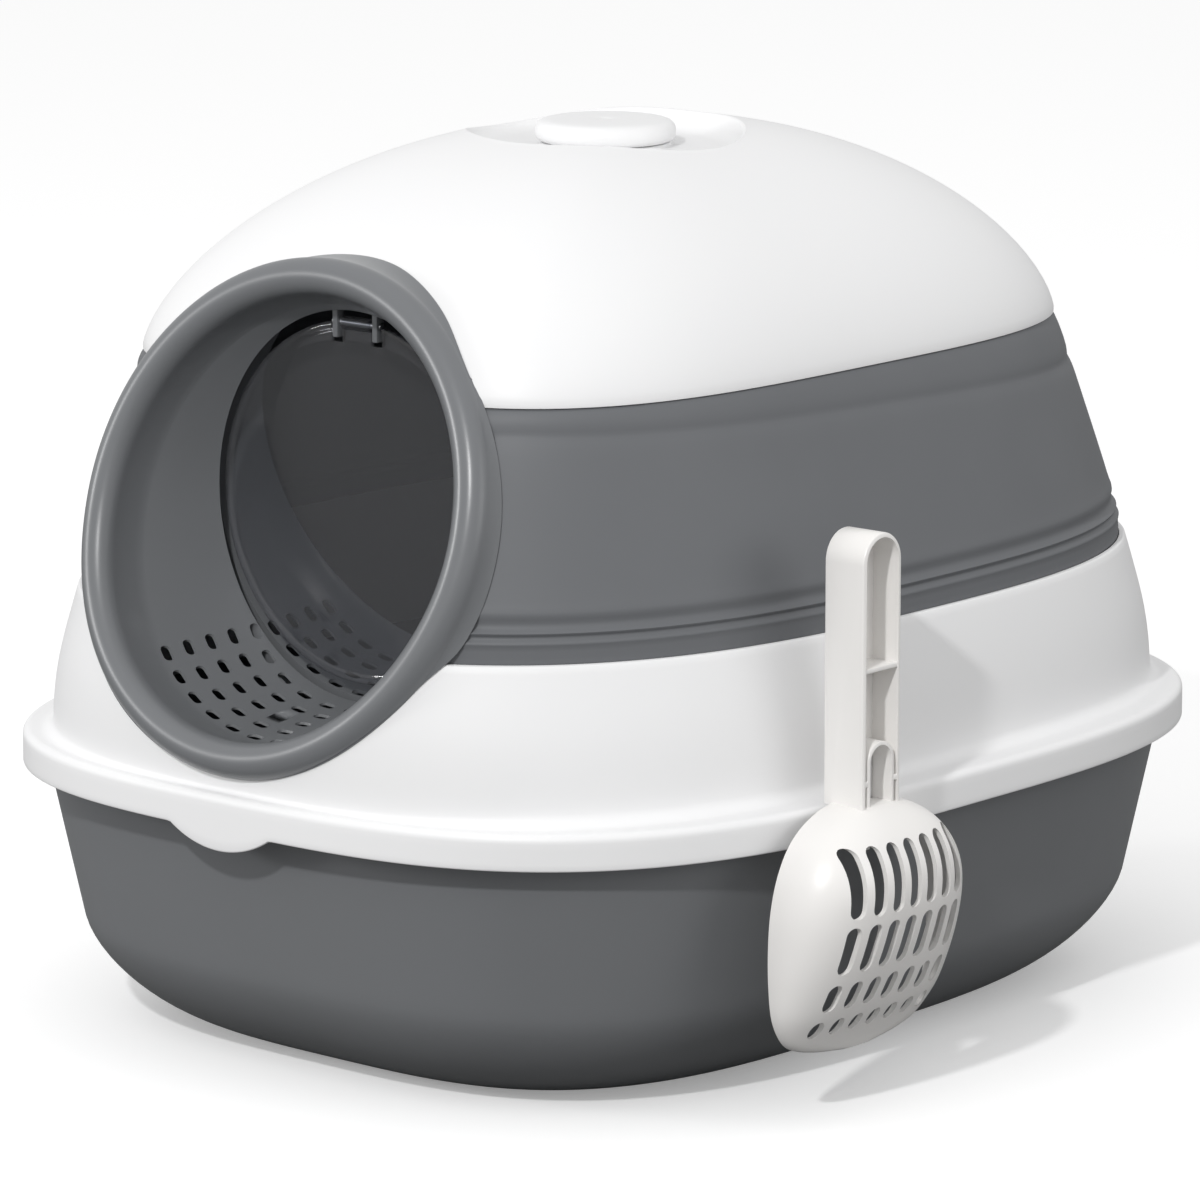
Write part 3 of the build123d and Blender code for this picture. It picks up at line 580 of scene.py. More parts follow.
def clothe(node_name, material):
    """Gives a piece that is shown with the solid's own shape its material."""
    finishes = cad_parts[node_name].data.materials
    for place in range(len(finishes)):
        finishes[place] = material


clothe("filter_basket", white_polypropylene)

# Charcoal felt: matt black fibres pressed into a disc, a soft speckle and a fuzzy surface.
charcoal_felt, felt_tree = new_material("charcoal_felt_pressed")
felt_place = add_node(felt_tree, "ShaderNodeTexCoord").outputs["Object"]
felt_fibre = add_node(felt_tree, "ShaderNodeTexNoise", {}, {
    "Vector": felt_place, "Scale": 1000 / 1.4, "Detail": 6.0, "Roughness": 0.75, "Distortion": 1.5})
felt_tint = add_node(felt_tree, "ShaderNodeMix", {"data_type": "RGBA"}, {
    "Factor": felt_fibre.outputs["Fac"], "A": linear("#141414"), "B": linear("#2c2c2c")})
felt_bump = add_node(felt_tree, "ShaderNodeBump", {}, {
    "Height": felt_fibre.outputs["Fac"], "Distance": 0.0006, "Strength": 1.0})
felt_shader = add_node(felt_tree, "ShaderNodeBsdfPrincipled", {}, {
    "Base Color": felt_tint.outputs[2], "Roughness": 0.95, "Sheen Weight": 0.3,
    "Normal": felt_bump.outputs["Normal"]})
add_node(felt_tree, "ShaderNodeOutputMaterial", {}, {"Surface": felt_shader.outputs["BSDF"]})

pad_low = 370.2
pad_profile = [(0.01, pad_low + 0.1), (8, pad_low), (16, pad_low + 0.1), (19.0, pad_low + 0.5), (20.1, pad_low + 1.8),
               (20.4, pad_low + 4.5), (20.45, pad_low + 7.5), (20.3, pad_low + 10.0), (19.6, pad_low + 12.2),
               (18.0, pad_low + 13.2), (14.0, pad_low + 13.7), (8.0, pad_low + 13.6), (0.01, pad_low + 13.7)]
charcoal_pad = turned("charcoal_pad_felt", pad_profile, 96, closed=False)
tidy_mesh(charcoal_pad, 0.0002)
dress(charcoal_pad, charcoal_felt, "cap")
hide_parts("charcoal_pad")


# ---------------------------------------------------------------------------------------------
# Entrance, front half. A round bead, a skirt behind it that lands on the hood, band and dome,
# and a funnel that narrows to the flap, with five rows of drain holes at its bottom. Moulded
# polypropylene, smoother than the tray, so that the bead takes a brighter highlight.

# Slate polypropylene from a finer mould: satin, with a clear soft highlight along the bead.
slate_ring_plastic = moulded("slate_polypropylene_satin", "#727477", "#6b6d6f", 0.33, 0.8, 0.018)

lip_radius = 114.4
throat_radius = 98.2
funnel_radius = 103.3
funnel_taper = 0.46
ring_wall = 2.6
funnel_wall = 1.1
ring_wall_across = funnel_wall * math.sqrt(1 + funnel_taper ** 2)
funnel_back_y = -171.6
ring_middle = 250.0
flange_radius = 97.2


def outside_hood(points, inset=0.0):
    """Negative inside the hood and positive outside it, for points in millimetres."""
    result = []
    for x, y, z in points:
        if z > 318:
            rise = min((z - dome_base) / dome_rise, 1.0)
            share = (1 - rise ** dome_shape[1]) ** (1 / dome_shape[0])
            half_x, half_y, square = dome_half[0] * share, dome_half[1] * share, 3.6
        else:
            half_x, half_y, _, square = wall_form(z)
        result.append((abs(x) / (half_x + inset)) ** square + (abs(y) / (half_y + inset)) ** square - 1)
    return np.array(result)


def landing_depth(radius, turns, gap):
    """The depth behind the lip at which a skirt of this radius comes within a gap of the hood."""
    low, high = np.full(len(turns), -14.0), np.full(len(turns), 60.0)
    for _ in range(28):
        middle = (low + high) / 2
        inside = outside_hood(on_entrance(radius, turns, middle), gap) < 0
        high = np.where(inside, middle, high)
        low = np.where(inside, low, middle)
    return (low + high) / 2


def softened(values, passes):
    """Values round a ring, drawn towards their neighbours a number of times."""
    for _ in range(passes):
        values = (np.roll(values, 1) + values * 2 + np.roll(values, -1)) / 4
    return values


ring_turns = full_turn(480)
landing_gap = 0.7
# Angle in degrees from the right side and radius of the skirt's back edge, which spreads a
# little over the dome, most at the top and where it crosses the band.
skirt_edge = ((-90, 114.4), (-73, 114.5), (-60, 114.8), (-46, 115.6), (-33, 117.0), (-23, 118.3), (-13, 117.6),
              (-3, 116.2), (5, 115.6), (14, 115.4), (22, 115.5), (32, 115.7), (40, 115.9), (52, 116.2), (68, 117.4),
              (80, 118.9), (90, 119.2))
half_turn = np.degrees(np.arcsin(np.sin(ring_turns)))
skirt_radius = softened(
    np.interp(half_turn, [pair[0] for pair in skirt_edge], [pair[1] for pair in skirt_edge]), 12)
skirt_depth = landing_depth(skirt_radius, ring_turns, landing_gap)
bead = (lip_radius - throat_radius) / 2
bead_middle = (lip_radius + throat_radius) / 2
sine = np.sin(ring_turns)


def funnel_reach(plane_y, base_radius):
    """Depth at which a cone of this front radius meets an upright plane."""
    tilt_sine, tilt_cosine = math.sin(entrance_tilt), math.cos(entrance_tilt)
    return (plane_y - entrance_center[1] - tilt_sine * base_radius * sine) / (
        tilt_cosine - tilt_sine * funnel_taper * sine)


def flange_line(radius, y):
    return np.column_stack([radius * np.cos(ring_turns), np.full(len(ring_turns), y), ring_middle + radius * sine])


# Low down the hood stands in front of the lip's plane: there the bead comes forward a little,
# and its straight side ends on the hood.
most_lead = 2.8
lead_share = np.clip(-half_turn / 50, 0, 1)
bead_lead = most_lead * lead_share ** 2 * (3 - 2 * lead_share)
skirt_spread = softened((skirt_radius - lip_radius) * np.clip(skirt_depth / 4, 0, 1), 24)
skirt_depth = landing_depth(lip_radius + skirt_spread, ring_turns, landing_gap)
inner_depth = landing_depth(lip_radius + skirt_spread - ring_wall, ring_turns, landing_gap)


def skirt_line(share, thickness, depth):
    """A line round the skirt, from the bead at share 0 to its back edge at share 1."""
    radius = lip_radius + skirt_spread * share ** 1.6 - thickness
    return on_entrance(radius, ring_turns, (depth + bead_lead) * share - bead_lead)


ring_rings = [skirt_line(1.0, 0.5, skirt_depth + 0.3)]
for share in (0.985, 0.85, 0.65, 0.45, 0.25, 0.1):
    ring_rings.append(skirt_line(share, 0, skirt_depth))
# Where the hood still stands in front of the bead's middle, its first part is left out.
bead_start = np.arcsin(np.clip(-(skirt_depth + bead_lead) / bead, 0, 0.7))
for share in np.linspace(0, 1, 19)[:-1]:
    turn = bead_start + (math.pi - bead_start) * share
    ring_rings.append(on_entrance(bead_middle + bead * np.cos(turn), ring_turns, -bead * np.sin(turn) - bead_lead))
funnel_depth = funnel_reach(funnel_back_y, funnel_radius)
# The bead's inner side runs on as a soft curve until it meets the cone.
cone_start = 15.0
for depth in (0.0, 1.5, 3.5, 6.0, 9.0, 12.0):
    share = depth / cone_start
    ring_rings.append(on_entrance(throat_radius - 1.8 * share ** 2, ring_turns, depth - bead_lead * (1 - share)))
for share in (0.0, 0.05, 0.12, 0.22, 0.34, 0.46, 0.58, 0.7, 0.82, 0.92, 1.0):
    depth = cone_start + (funnel_depth - cone_start) * share
    ring_rings.append(on_entrance(funnel_radius - funnel_taper * depth, ring_turns, depth))
ring_rings += [flange_line(flange_radius - 0.4, funnel_back_y), flange_line(flange_radius, funnel_back_y - 0.4),
               flange_line(flange_radius, funnel_back_y - 3)]
outer_depth = funnel_reach(funnel_back_y - 3, funnel_radius + ring_wall_across)
for share in (1.0, 0.7, 0.4, 0.0):
    depth = 16.0 + (outer_depth - 16.0) * share
    ring_rings.append(on_entrance(funnel_radius + ring_wall_across - funnel_taper * depth, ring_turns, depth))
ring_rings.append(on_entrance(throat_radius + funnel_wall, ring_turns, 3.0 - bead_lead))
for turn in np.radians((150, 90, 50)):
    ring_rings.append(on_entrance(bead_middle + (bead - ring_wall) * math.cos(turn), ring_turns,
                                  -(bead - ring_wall) * math.sin(turn) - bead_lead))
for share in (0.1, 0.5, 0.85, 0.99):
    ring_rings.append(skirt_line(share, ring_wall, inner_depth))
front_ring = skin("entrance_front_ring_shell", ring_rings, closed=True)


def slot_tree():
    """Geometry nodes that cut one slot at each point of another object, turned as it says."""
    tree = bpy.data.node_groups.new("slots", "GeometryNodeTree")
    for name, kind in (("Geometry", "Geometry"), ("Places", "Object"), ("Length", "Float"), ("Width", "Float"),
                       ("Depth", "Float"), ("Finish", "Material")):
        tree.interface.new_socket(name=name, in_out="INPUT", socket_type="NodeSocket" + kind)
    tree.interface.new_socket(name="Geometry", in_out="OUTPUT", socket_type="NodeSocketGeometry")
    given = add_node(tree, "NodeGroupInput").outputs
    places = add_node(tree, "GeometryNodeObjectInfo", {"transform_space": "ORIGINAL"}, {"Object": given["Places"]})
    frame_line = add_node(tree, "GeometryNodeCurvePrimitiveQuadrilateral", {"mode": "RECTANGLE"}, {
        "Width": given["Length"], "Height": given["Width"]})
    half = add_node(tree, "ShaderNodeMath", {"operation": "MULTIPLY"}, {0: given["Width"], 1: 0.499})
    rounded = add_node(tree, "GeometryNodeFilletCurve", {"mode": "POLY"}, {
        "Curve": frame_line.outputs["Curve"], "Radius": half.outputs[0], "Limit Radius": True, "Count": 5})
    filled = add_node(tree, "GeometryNodeFillCurve", {"mode": "NGONS"}, {"Curve": rounded.outputs["Curve"]})
    lifted = add_node(tree, "GeometryNodeExtrudeMesh", {"mode": "FACES"}, {
        "Mesh": filled.outputs["Mesh"], "Offset Scale": given["Depth"], "Individual": False})
    under = add_node(tree, "GeometryNodeFlipFaces", {}, {"Mesh": filled.outputs["Mesh"]})
    both = add_node(tree, "GeometryNodeJoinGeometry")
    tree.links.new(lifted.outputs["Mesh"], both.inputs[0])
    tree.links.new(under.outputs["Mesh"], both.inputs[0])
    shut = add_node(tree, "GeometryNodeMergeByDistance", {}, {"Geometry": both.outputs[0], "Distance": 0.00001})
    drop = add_node(tree, "ShaderNodeMath", {"operation": "MULTIPLY"}, {0: given["Depth"], 1: -0.5})
    shift = add_node(tree, "ShaderNodeCombineXYZ", {}, {"Z": drop.outputs[0]})
    centred = add_node(tree, "GeometryNodeTransform", {}, {
        "Geometry": shut.outputs["Geometry"], "Translation": shift.outputs["Vector"]})
    turn = add_node(tree, "GeometryNodeInputNamedAttribute", {"data_type": "FLOAT_VECTOR"}, {"Name": "turn"})
    placed = add_node(tree, "GeometryNodeInstanceOnPoints", {}, {
        "Points": places.outputs["Geometry"], "Instance": centred.outputs["Geometry"],
        "Rotation": turn.outputs["Attribute"]})
    solid = add_node(tree, "GeometryNodeRealizeInstances", {}, {"Geometry": placed.outputs["Instances"]})
    cut = add_node(tree, "GeometryNodeMeshBoolean", {"operation": "DIFFERENCE", "solver": "EXACT"}, {
        "Mesh 1": given["Geometry"]})
    tree.links.new(solid.outputs["Geometry"], cut.inputs["Mesh 2"])
    plain = add_node(tree, "GeometryNodeRealizeInstances", {}, {"Geometry": cut.outputs["Mesh"]})
    finish = add_node(tree, "GeometryNodeSetMaterial", {}, {
        "Geometry": plain.outputs["Geometry"], "Material": given["Finish"]})
    add_node(tree, "NodeGroupOutput", {}, {"Geometry": finish.outputs["Geometry"]})
    return tree


slots = slot_tree()


def cut_slots(piece, places, reaches, alongs, length, width, depth, material):
    """Cuts round-ended slots through a piece, at places with a direction out and one along."""
    turns = []
    for reach, along in zip(reaches, alongs):
        out = Vector(reach).normalized()
        side = Vector(along).normalized()
        cross = out.cross(side)
        turns.append(Matrix((side, cross, out)).transposed().to_euler())
    guide = mesh_piece("slot_places", places, [])
    turn_data = guide.data.attributes.new("turn", "FLOAT_VECTOR", "POINT")
    for point, turn in zip(turn_data.data, turns):
        point.vector = turn
    change = piece.modifiers.new("slots", "NODES")
    change.node_group = slots
    named = {item.name: item.identifier for item in slots.interface.items_tree if item.in_out == "INPUT"}
    for name, value in (("Places", guide), ("Length", length / 1000), ("Width", width / 1000),
                        ("Depth", depth / 1000), ("Finish", material)):
        change[named[name]] = value
    baked(piece)
    bpy.data.objects.remove(guide)
    return piece


hole_size = (8.2, 4.4)
hole_cut = 14
hole_pitch = 14.2
front_rows = 5
front_row_start = 18.0
front_row_pitch = 10.6
front_row_spread = 45.8
hole_places, hole_reaches, hole_alongs = [], [], []
for row in range(front_rows):
    depth = front_row_start + front_row_pitch * row
    radius = funnel_radius - funnel_taper * depth
    spread = front_row_spread + row
    spaces = round(2 * math.radians(spread) * radius / hole_pitch)
    for turn in np.radians(-90 + np.linspace(-spread, spread, spaces + 1)):
        hole_places.append(on_entrance(radius, turn, depth))
        hole_reaches.append(math.cos(turn) * sideways + math.sin(turn) * upward)
        hole_alongs.append(-math.sin(turn) * sideways + math.cos(turn) * upward)
cut_slots(front_ring, hole_places, hole_reaches, hole_alongs, *hole_size, hole_cut, slate_ring_plastic)
dress(front_ring, slate_ring_plastic, "entrance", 34)
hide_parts("entrance_front_ring")


# ---------------------------------------------------------------------------------------------
# Entrance, rear half. A short tapered tunnel behind the flap with four more rows of drain
# holes, a flange that screws to the front half, and two arms that hold the flap's pin. Same
# plastic as the front half. Four zinc-plated screws join the halves from inside.

rear_front_y = -165.0
rear_radius = 88.5
rear_taper = 0.24
rear_across = funnel_wall * math.sqrt(1 + rear_taper ** 2)
rear_end_y = -136.0
rear_end_slant = 0.36
groove = (94.6, flange_radius)
groove_floor_y = -171.3
flange_back_y = -162.8


def rear_end(base_radius):
    """Where the tunnel's slanted back edge lies, for each column."""
    y = ((rear_end_y - rear_end_slant * sine * (base_radius + rear_taper * rear_front_y))
         / (1 - rear_end_slant * rear_taper * sine))
    return np.maximum(y, flange_back_y + 0.3)


def rear_line(base_radius, y):
    radius = base_radius - rear_taper * (y - rear_front_y)
    return np.column_stack([
        radius * np.cos(ring_turns), np.broadcast_to(y, len(ring_turns)), ring_middle + radius * sine])


end_inner = rear_end(rear_radius)
end_outer = rear_end(rear_radius + rear_across)
rear_rings = [rear_line(rear_radius, rear_front_y + (end_inner - rear_front_y) * share)
              for share in (0.0, 0.1, 0.25, 0.4, 0.55, 0.7, 0.85, 0.97, 1.0)]
rear_rings += [rear_line(rear_radius + rear_across, flange_back_y + 0.3 + (end_outer - flange_back_y - 0.3) * share)
               for share in (1.0, 0.95, 0.6, 0.25)]
# Radius and Y along the flange: out over its back, round the groove's outside and back in.
rear_flange = ((rear_radius + rear_across + 0.3, flange_back_y), (groove[1] - 0.4, flange_back_y),
               (groove[1], flange_back_y - 0.4), (groove[1], groove_floor_y), (groove[0], groove_floor_y),
               (groove[0], rear_front_y - 0.6), (groove[0] - 0.6, rear_front_y), (rear_radius + 0.5, rear_front_y))
rear_rings += [flange_line(radius, y) for radius, y in rear_flange]
rear_ring = skin("entrance_rear_ring_shell", rear_rings, closed=True)
rear_rows = 4
rear_row_start = 3.4
rear_row_pitch = 10.1
rear_row_spread = 41.9
rear_row_holes = 10
hole_places, hole_reaches, hole_alongs = [], [], []
for row in range(rear_rows):
    back = rear_row_start + rear_row_pitch * row
    radius = rear_radius - rear_taper * back
    for turn in np.radians(-90 + np.linspace(-rear_row_spread, rear_row_spread, rear_row_holes)):
        hole_places.append((radius * math.cos(turn), rear_front_y + back, ring_middle + radius * math.sin(turn)))
        hole_reaches.append((math.cos(turn), 0, math.sin(turn)))
        hole_alongs.append((-math.sin(turn), 0, math.cos(turn)))
cut_slots(rear_ring, hole_places, hole_reaches, hole_alongs, *hole_size, hole_cut, slate_ring_plastic)
hinge_y = -168.8
hinge_height = 328.9
hinge_arm_x = 11.7
for side in (-hinge_arm_x, hinge_arm_x):
    combined(rear_ring, block("hinge_arm", (side - 1.5, hinge_y - 2.4, 322.0),
                              (side + 1.5, hinge_y + 2.4, 345.8), 0.5), "UNION")
combined(rear_ring, block("hinge_bridge", (-13.0, -165.9, 334.5), (13.0, -163.2, 343.5), 0.4), "UNION")
dress(rear_ring, slate_ring_plastic, "entrance", 34)
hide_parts("entrance_rear_ring")

# Zinc-plated steel of the screws and the pin: cool gray, turned, so it glints in short streaks.
plated_steel, steel_tree = new_material("zinc_plated_steel_turned")
steel_place = add_node(steel_tree, "ShaderNodeTexCoord").outputs["Object"]
steel_noise = add_node(steel_tree, "ShaderNodeTexNoise", {}, {
    "Vector": steel_place, "Scale": 1000 / 0.6, "Detail": 3.0})
steel_rough = add_node(steel_tree, "ShaderNodeMapRange", {}, {
    "Value": steel_noise.outputs["Fac"], "To Min": 0.25, "To Max": 0.42})
steel_tint = add_node(steel_tree, "ShaderNodeMix", {"data_type": "RGBA"}, {
    "Factor": steel_noise.outputs["Fac"], "A": linear("#b4b6b8"), "B": linear("#a2a4a7")})
steel_shader = add_node(steel_tree, "ShaderNodeBsdfPrincipled", {}, {
    "Base Color": steel_tint.outputs[2], "Metallic": 1.0, "Roughness": steel_rough.outputs["Result"]})
add_node(steel_tree, "ShaderNodeOutputMaterial", {}, {"Surface": steel_shader.outputs["BSDF"]})
clothe("ring_screws", plated_steel)
clothe("hinge_pin", plated_steel)


# ---------------------------------------------------------------------------------------------
# Flap and pin. A clear round flap with a beaded rim hangs from a barrel on the steel pin; two
# square notches in its top edge clear the arms. Smoke-tinted clear plastic, polished.

# Clear polycarbonate with a smoke tint: smooth, sharp reflections, and a gray view through it.
# A sheet this thin lets light straight through. Its gloss is 4 % face on and rises as it turns
# edge on, and a faint haze in it catches the light.
smoked_polycarbonate, clear_tree = new_material("smoked_polycarbonate_polished")
clear_place = add_node(clear_tree, "ShaderNodeTexCoord").outputs["Object"]
clear_noise = add_node(clear_tree, "ShaderNodeTexNoise", {}, {
    "Vector": clear_place, "Scale": 1000 / 45, "Detail": 2.0})
clear_rough = add_node(clear_tree, "ShaderNodeMapRange", {}, {
    "Value": clear_noise.outputs["Fac"], "To Min": 0.02, "To Max": 0.06})
clear_facing = add_node(clear_tree, "ShaderNodeLayerWeight", {}, {"Blend": 0.5})
clear_steep = add_node(clear_tree, "ShaderNodeMath", {"operation": "POWER"}, {
    0: clear_facing.outputs["Facing"], 1: 5.0})
clear_edge = add_node(clear_tree, "ShaderNodeMapRange", {}, {
    "Value": clear_steep.outputs[0], "To Min": 0.04, "To Max": 1.0})
clear_through = add_node(clear_tree, "ShaderNodeBsdfTransparent", {}, {"Color": linear("#dfe0e3")})
clear_haze = add_node(clear_tree, "ShaderNodeBsdfDiffuse", {}, {"Color": linear("#c4c5c9")})
clear_body = add_node(clear_tree, "ShaderNodeMixShader", {}, {
    0: 0.042, 1: clear_through.outputs["BSDF"], 2: clear_haze.outputs["BSDF"]})
clear_gloss = add_node(clear_tree, "ShaderNodeBsdfGlossy", {}, {
    "Color": linear("#ffffff"), "Roughness": clear_rough.outputs["Result"]})
clear_sheet = add_node(clear_tree, "ShaderNodeMixShader", {}, {
    0: clear_edge.outputs["Result"], 1: clear_body.outputs["Shader"], 2: clear_gloss.outputs["BSDF"]})
add_node(clear_tree, "ShaderNodeOutputMaterial", {}, {"Surface": clear_sheet.outputs["Shader"]})

flap_middle = 249.5
# Radius, and how far in front of or behind the pin: the disc, 1.8 mm thick, and its bead.
flap_profile = [(0.01, -0.9), (30, -0.9), (60, -0.9), (75.6, -0.9), (76.4, -1.1), (77.2, -1.4), (78.4, -1.5),
                (79.6, -1.4), (80.3, -0.9), (80.5, 0.0), (80.3, 0.9), (79.6, 1.4), (78.4, 1.5), (77.2, 1.4),
                (76.4, 1.1), (75.6, 0.9), (60, 0.9), (30, 0.9), (0.01, 0.9)]
flap_turns = full_turn(288)
flap_rings = [np.column_stack([radius * np.cos(flap_turns), np.full(len(flap_turns), hinge_y + side),
                               flap_middle + radius * np.sin(flap_turns)]) for radius, side in flap_profile]
flap = skin("flap_disc", flap_rings)
tidy_mesh(flap, 0.0002)
for side in (-hinge_arm_x, hinge_arm_x):
    combined(flap, block("notch", (side - 3.2, hinge_y - 6, 319.9), (side + 3.2, hinge_y + 6, 340)), "DIFFERENCE")
# X and radius of the barrel, with a shoulder at each end; the last two are its bore.
barrel_profile = ((-8.5, 2.4), (-8.3, 2.9), (-7.9, 3.2), (-6.6, 3.2), (-6.3, 2.9), (6.3, 2.9), (6.6, 3.2),
                  (7.9, 3.2), (8.3, 2.9), (8.5, 2.4), (8.5, 1.56), (-8.5, 1.56))
turns = full_turn(48)
barrel_rings = [np.column_stack([np.full(len(turns), x), hinge_y + radius * np.cos(turns),
                                 hinge_height + radius * np.sin(turns)]) for x, radius in barrel_profile]
barrel = skin("flap_barrel", barrel_rings, closed=True)
combined(flap, block("pin_room", (-9.5, hinge_y - 3.0, hinge_height - 3.0),
                     (9.5, hinge_y + 3.0, hinge_height + 5)), "DIFFERENCE")
combined(flap, barrel, "UNION")
dress(flap, smoked_polycarbonate, "flap", 34)
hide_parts("flap_panel")


# ---------------------------------------------------------------------------------------------
# Scoop. One moulding: a deep slotted blade with an open back and a long handle with a channel
# down its front. It hangs on the hood's hook by the web inside the small arch. Glossier, warm
# white high-impact polystyrene.

# Warm white polystyrene, polished mould: brighter, tighter highlights than the shells.
ivory_polystyrene = moulded(
    "ivory_polystyrene_moulded", "#f1efed", "#eeece9", 0.36, 1.5, 0.008, coat=0.15)

scoop_inner_x = 215.1
scoop_outer_x = 231.8
scoop_wall = 2.2
handle_back_x = 210.4
handle_foot = 118.3
handle_seat = 136.3
handle_half = 12.9
handle_centre = 254.8 - handle_half
channel_half = handle_half - 2.0
channel_floor = 2.4
blade_squareness = 2.8
blade_columns = 97
# Height, half width and bulge of the blade, from its tip to its shoulder.
blade_levels = np.array((
    (28.5, 14.0, 5.2), (30.5, 29.0, 6.2), (34.0, 41.0, 8.0), (40.0, 48.0, 11.6), (50.0, 53.0, 18.2),
    (64.0, 55.0, 25.4), (78.0, 55.4, 31.2), (92.0, 54.5, 35.4), (104.0, 52.0, 37.2), (114.0, 48.0, 36.0),
    (123.0, 42.0, 31.8), (130.0, 33.5, 26.2), (135.0, 22.5, 20.2), (137.0, 14.0, 16.9)))


def smooth_levels(table, positions):
    """Rows of a table at in-between positions, by a smooth curve along its own length."""
    slopes = np.gradient(table, axis=0)
    low = np.clip(positions.astype(int), 0, len(table) - 2)
    share = (positions - low)[:, None]
    start, end = table[low], table[low + 1]
    return (start * (1 + 2 * share) * (1 - share) ** 2 + end * share ** 2 * (3 - 2 * share)
            + slopes[low] * share * (1 - share) ** 2 - slopes[low + 1] * share ** 2 * (1 - share))


blade_rings = []
sweep = np.linspace(0, np.pi, 2001)
for height, across, reach in smooth_levels(blade_levels, np.linspace(0, len(blade_levels) - 1, 67)):
    x = scoop_inner_x + reach * np.abs(np.sin(sweep)) ** (2 / blade_squareness)
    y = scoop_y - across * np.sign(np.cos(sweep)) * np.abs(np.cos(sweep)) ** (2 / blade_squareness)
    blade_rings.append(raised(evenly(x, y, blade_columns, closed=False), height))
blade_rings = np.array(blade_rings)
rows, columns, _ = blade_rings.shape
index = np.arange(rows * columns).reshape(rows, columns)
faces = np.stack([index[:-1, :-1], index[:-1, 1:], index[1:, 1:], index[1:, :-1]], axis=-1).reshape(-1, 4).tolist()
faces.append(index[0][::-1].tolist())
faces.append(index[-1].tolist())
scoop = tidy_mesh(mesh_piece("scoop_body", blade_rings, faces))
# The back is open, so the outside is set by the face in the middle of the bulge.
blade_middle = Vector((0.25, scoop_y / 1000, 0.08))
middle_face = min(scoop.data.polygons, key=lambda face: (face.center - blade_middle).length)
if middle_face.normal.x < 0:
    scoop.data.flip_normals()
wall = scoop.modifiers.new("wall", "SOLIDIFY")
wall.thickness = scoop_wall / 1000
wall.offset = -1
wall.use_even_offset = True
baked(scoop)
tidy_mesh(scoop)

# Four rows of seven slots, fanned a little wider towards the blade's tip.
slot_rows = ((39.4, 47.4), (52.2, 65.0), (69.8, 91.4), (94.9, 124.5))
slot_center_y = -94.2
slot_pitch = 12.0
slot_fan = 0.0145
slot_width = 7.2
slot_cut = 64
for low, high in slot_rows:
    centre = (low + high) / 2
    places, reaches, alongs = [], [], []
    for column in range(-3, 4):
        across = column * (slot_pitch - slot_fan * (centre - 40.0))
        lean = math.atan(column * slot_fan)
        places.append((scoop_inner_x + 35, slot_center_y + across, centre))
        reaches.append((1, 0, 0))
        alongs.append((0, -math.sin(lean), math.cos(lean)))
    cut_slots(scoop, places, reaches, alongs, high - low, slot_width, slot_cut, ivory_polystyrene)

# The handle: an I-section with walls all round, a cross rib, and the small arch over the hook.
# Cuts start below the handle and reach past it on both sides.
below, inside, outside = 100.0, 200.0, 260.0
arch_half = (9.0, 7.4)
hook_room = 7.9
handle = upright("handle", handle_half, handle_centre, handle_foot, handle_back_x, scoop_outer_x, 1.1)
combined(handle, upright("front_channel", channel_half, handle_centre, below, scoop_channel_x, outside), "DIFFERENCE")
combined(handle, upright("back_channel", channel_half, handle_centre, below, inside,
                         scoop_channel_x - channel_floor), "DIFFERENCE")
combined(handle, block("rim_room", (inside, scoop_y - 30, below),
                       (scoop_inner_x, scoop_y + 30, handle_seat)), "DIFFERENCE")
combined(handle, block("cross_rib", (scoop_channel_x - 1, scoop_y - channel_half - 0.5, 195.0),
                       (scoop_outer_x - 0.4, scoop_y + channel_half + 0.5, 197.0), 0.3), "UNION")
arch = upright("arch", arch_half[0], tongue_center, handle_foot, scoop_inner_x, scoop_outer_x - 0.2, 0.4)
combined(arch, upright("arch_room", arch_half[1], tongue_center, below, scoop_channel_x, outside), "DIFFERENCE")
combined(handle, arch, "UNION")
for side in (-1, 1):
    low, high = sorted((scoop_y + side * 8.6, scoop_y + side * (channel_half + 0.5)))
    combined(handle, block("nub", (scoop_outer_x - 3.0, low, 145.8),
                           (scoop_outer_x - 0.1, high, 148.2), 0.3), "UNION")
combined(handle, block("arm_room", (190.0, scoop_y - hook_room, below),
                       (scoop_channel_x + 0.1, scoop_y + hook_room, 132.3)), "DIFFERENCE")
combined(scoop, block("shoulder_room", (inside, scoop_y - hook_room, 112.0),
                      (hook_x[1] + 0.4, scoop_y + hook_room, tongue_center)), "DIFFERENCE")
combined(scoop, handle, "UNION")
tidy_mesh(scoop, 0.00001)
dress(scoop, ivory_polystyrene, "scoop_body", 32)
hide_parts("scoop")


# ---------------------------------------------------------------------------------------------
# Studio. A white paper floor under an even white sky, a small key lamp high up in front, and two
# weaker, larger lamps low down at the left and the right. The paper sends back less light than
# the camera sees on it. The camera stands at the photograph's angle.

stage_white, stage_tree = new_material("stage_white_paper")
stage_path = add_node(stage_tree, "ShaderNodeLightPath")
stage_seen = add_node(stage_tree, "ShaderNodeMath", {"operation": "MULTIPLY"}, {
    0: stage_path.outputs["Is Camera Ray"], 1: 0.26})
stage_tone = add_node(stage_tree, "ShaderNodeMix", {"data_type": "RGBA"}, {
    "Factor": stage_path.outputs["Is Camera Ray"], "A": linear("#828282"), "B": linear("#f2f2f2")})
stage_paper = add_node(stage_tree, "ShaderNodeBsdfDiffuse", {}, {"Color": stage_tone.outputs[2]})
stage_glow = add_node(stage_tree, "ShaderNodeEmission", {}, {"Strength": stage_seen.outputs[0]})
stage_lit = add_node(stage_tree, "ShaderNodeAddShader", {}, {
    0: stage_paper.outputs["BSDF"], 1: stage_glow.outputs["Emission"]})
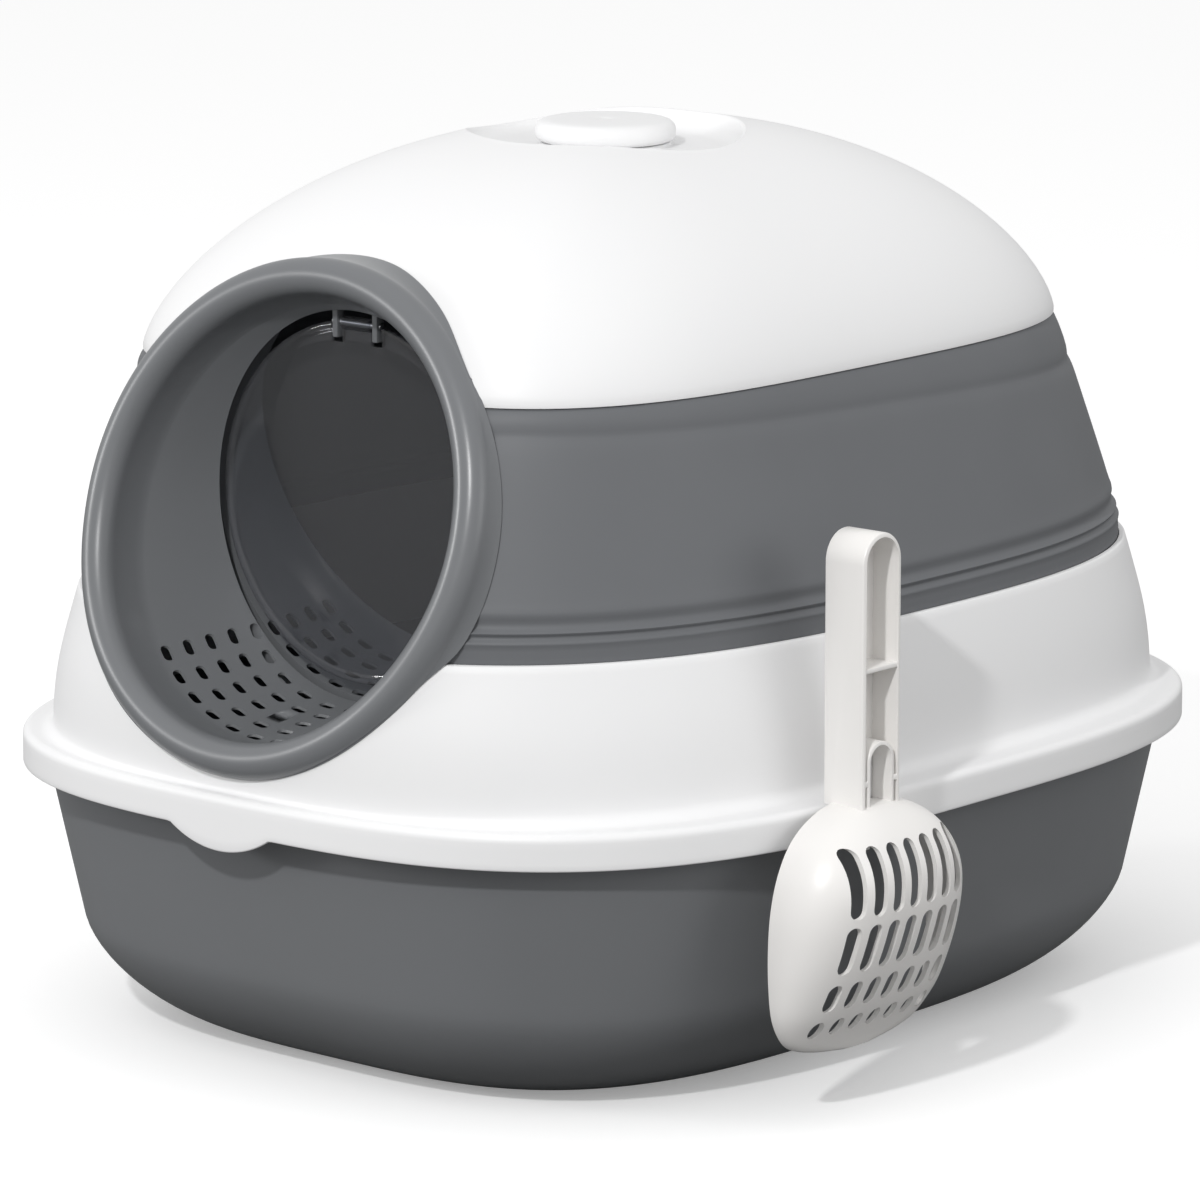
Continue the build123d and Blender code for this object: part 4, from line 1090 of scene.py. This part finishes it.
add_node(stage_tree, "ShaderNodeOutputMaterial", {}, {"Surface": stage_lit.outputs["Shader"]})
floor_half = 8000
floor = mesh_piece("floor", [(-floor_half, -floor_half, 0), (floor_half, -floor_half, 0),
                             (floor_half, floor_half, 0), (-floor_half, floor_half, 0)], [(0, 1, 2, 3)])
floor.data.materials.append(stage_white)

sky = bpy.data.worlds.new("studio")
bpy.context.scene.world = sky
sky.use_nodes = True
sky_tree = sky.node_tree
sky_tree.nodes.clear()
sky_path = add_node(sky_tree, "ShaderNodeLightPath")
sky_light = add_node(sky_tree, "ShaderNodeBackground", {}, {"Color": linear("#ffffff"), "Strength": 0.75})
sky_seen = add_node(sky_tree, "ShaderNodeBackground", {}, {"Color": linear("#ffffff"), "Strength": 1.0})
sky_mix = add_node(sky_tree, "ShaderNodeMixShader", {}, {
    0: sky_path.outputs["Is Camera Ray"], 1: sky_light.outputs["Background"], 2: sky_seen.outputs["Background"]})
add_node(sky_tree, "ShaderNodeOutputWorld", {}, {"Surface": sky_mix.outputs["Shader"]})

box_middle = Vector((0, 0, 0.2))


def studio_lamp(name, place, size, watts):
    """A round lamp at a place in metres, turned to the middle of the box."""
    light = bpy.data.lights.new(name, "AREA")
    light.shape = "DISK"
    light.size = size
    light.energy = watts
    lamp = added(name, light)
    lamp.location = place
    lamp.rotation_euler = (box_middle - Vector(place)).to_track_quat("-Z", "Y").to_euler()


studio_lamp("key_lamp", (0.98, -2.46, 1.99), 0.16, 41)
studio_lamp("left_lamp", (-2.3, -1.95, 0.8), 0.6, 19)
studio_lamp("right_lamp", (2.9, 0.5, 1.1), 1.6, 10)

lens = bpy.data.cameras.new("camera")
lens.lens = 204.9
lens.sensor_width = 36
lens.clip_end = 30
camera = added("camera", lens)
camera_right = Vector((0.758, 0.652, 0)).normalized()
camera_back = Vector((0.639, -0.742, 0.202)).normalized()
camera_up = camera_back.cross(camera_right).normalized()
camera_right = camera_up.cross(camera_back)
camera_turn = Matrix((camera_right, camera_up, camera_back)).transposed()
camera.matrix_world = Matrix.Translation((1.991, -2.3198, 0.8106)) @ camera_turn.to_4x4()
bpy.context.scene.camera = camera
bpy.context.scene.view_settings.view_transform = "Standard"
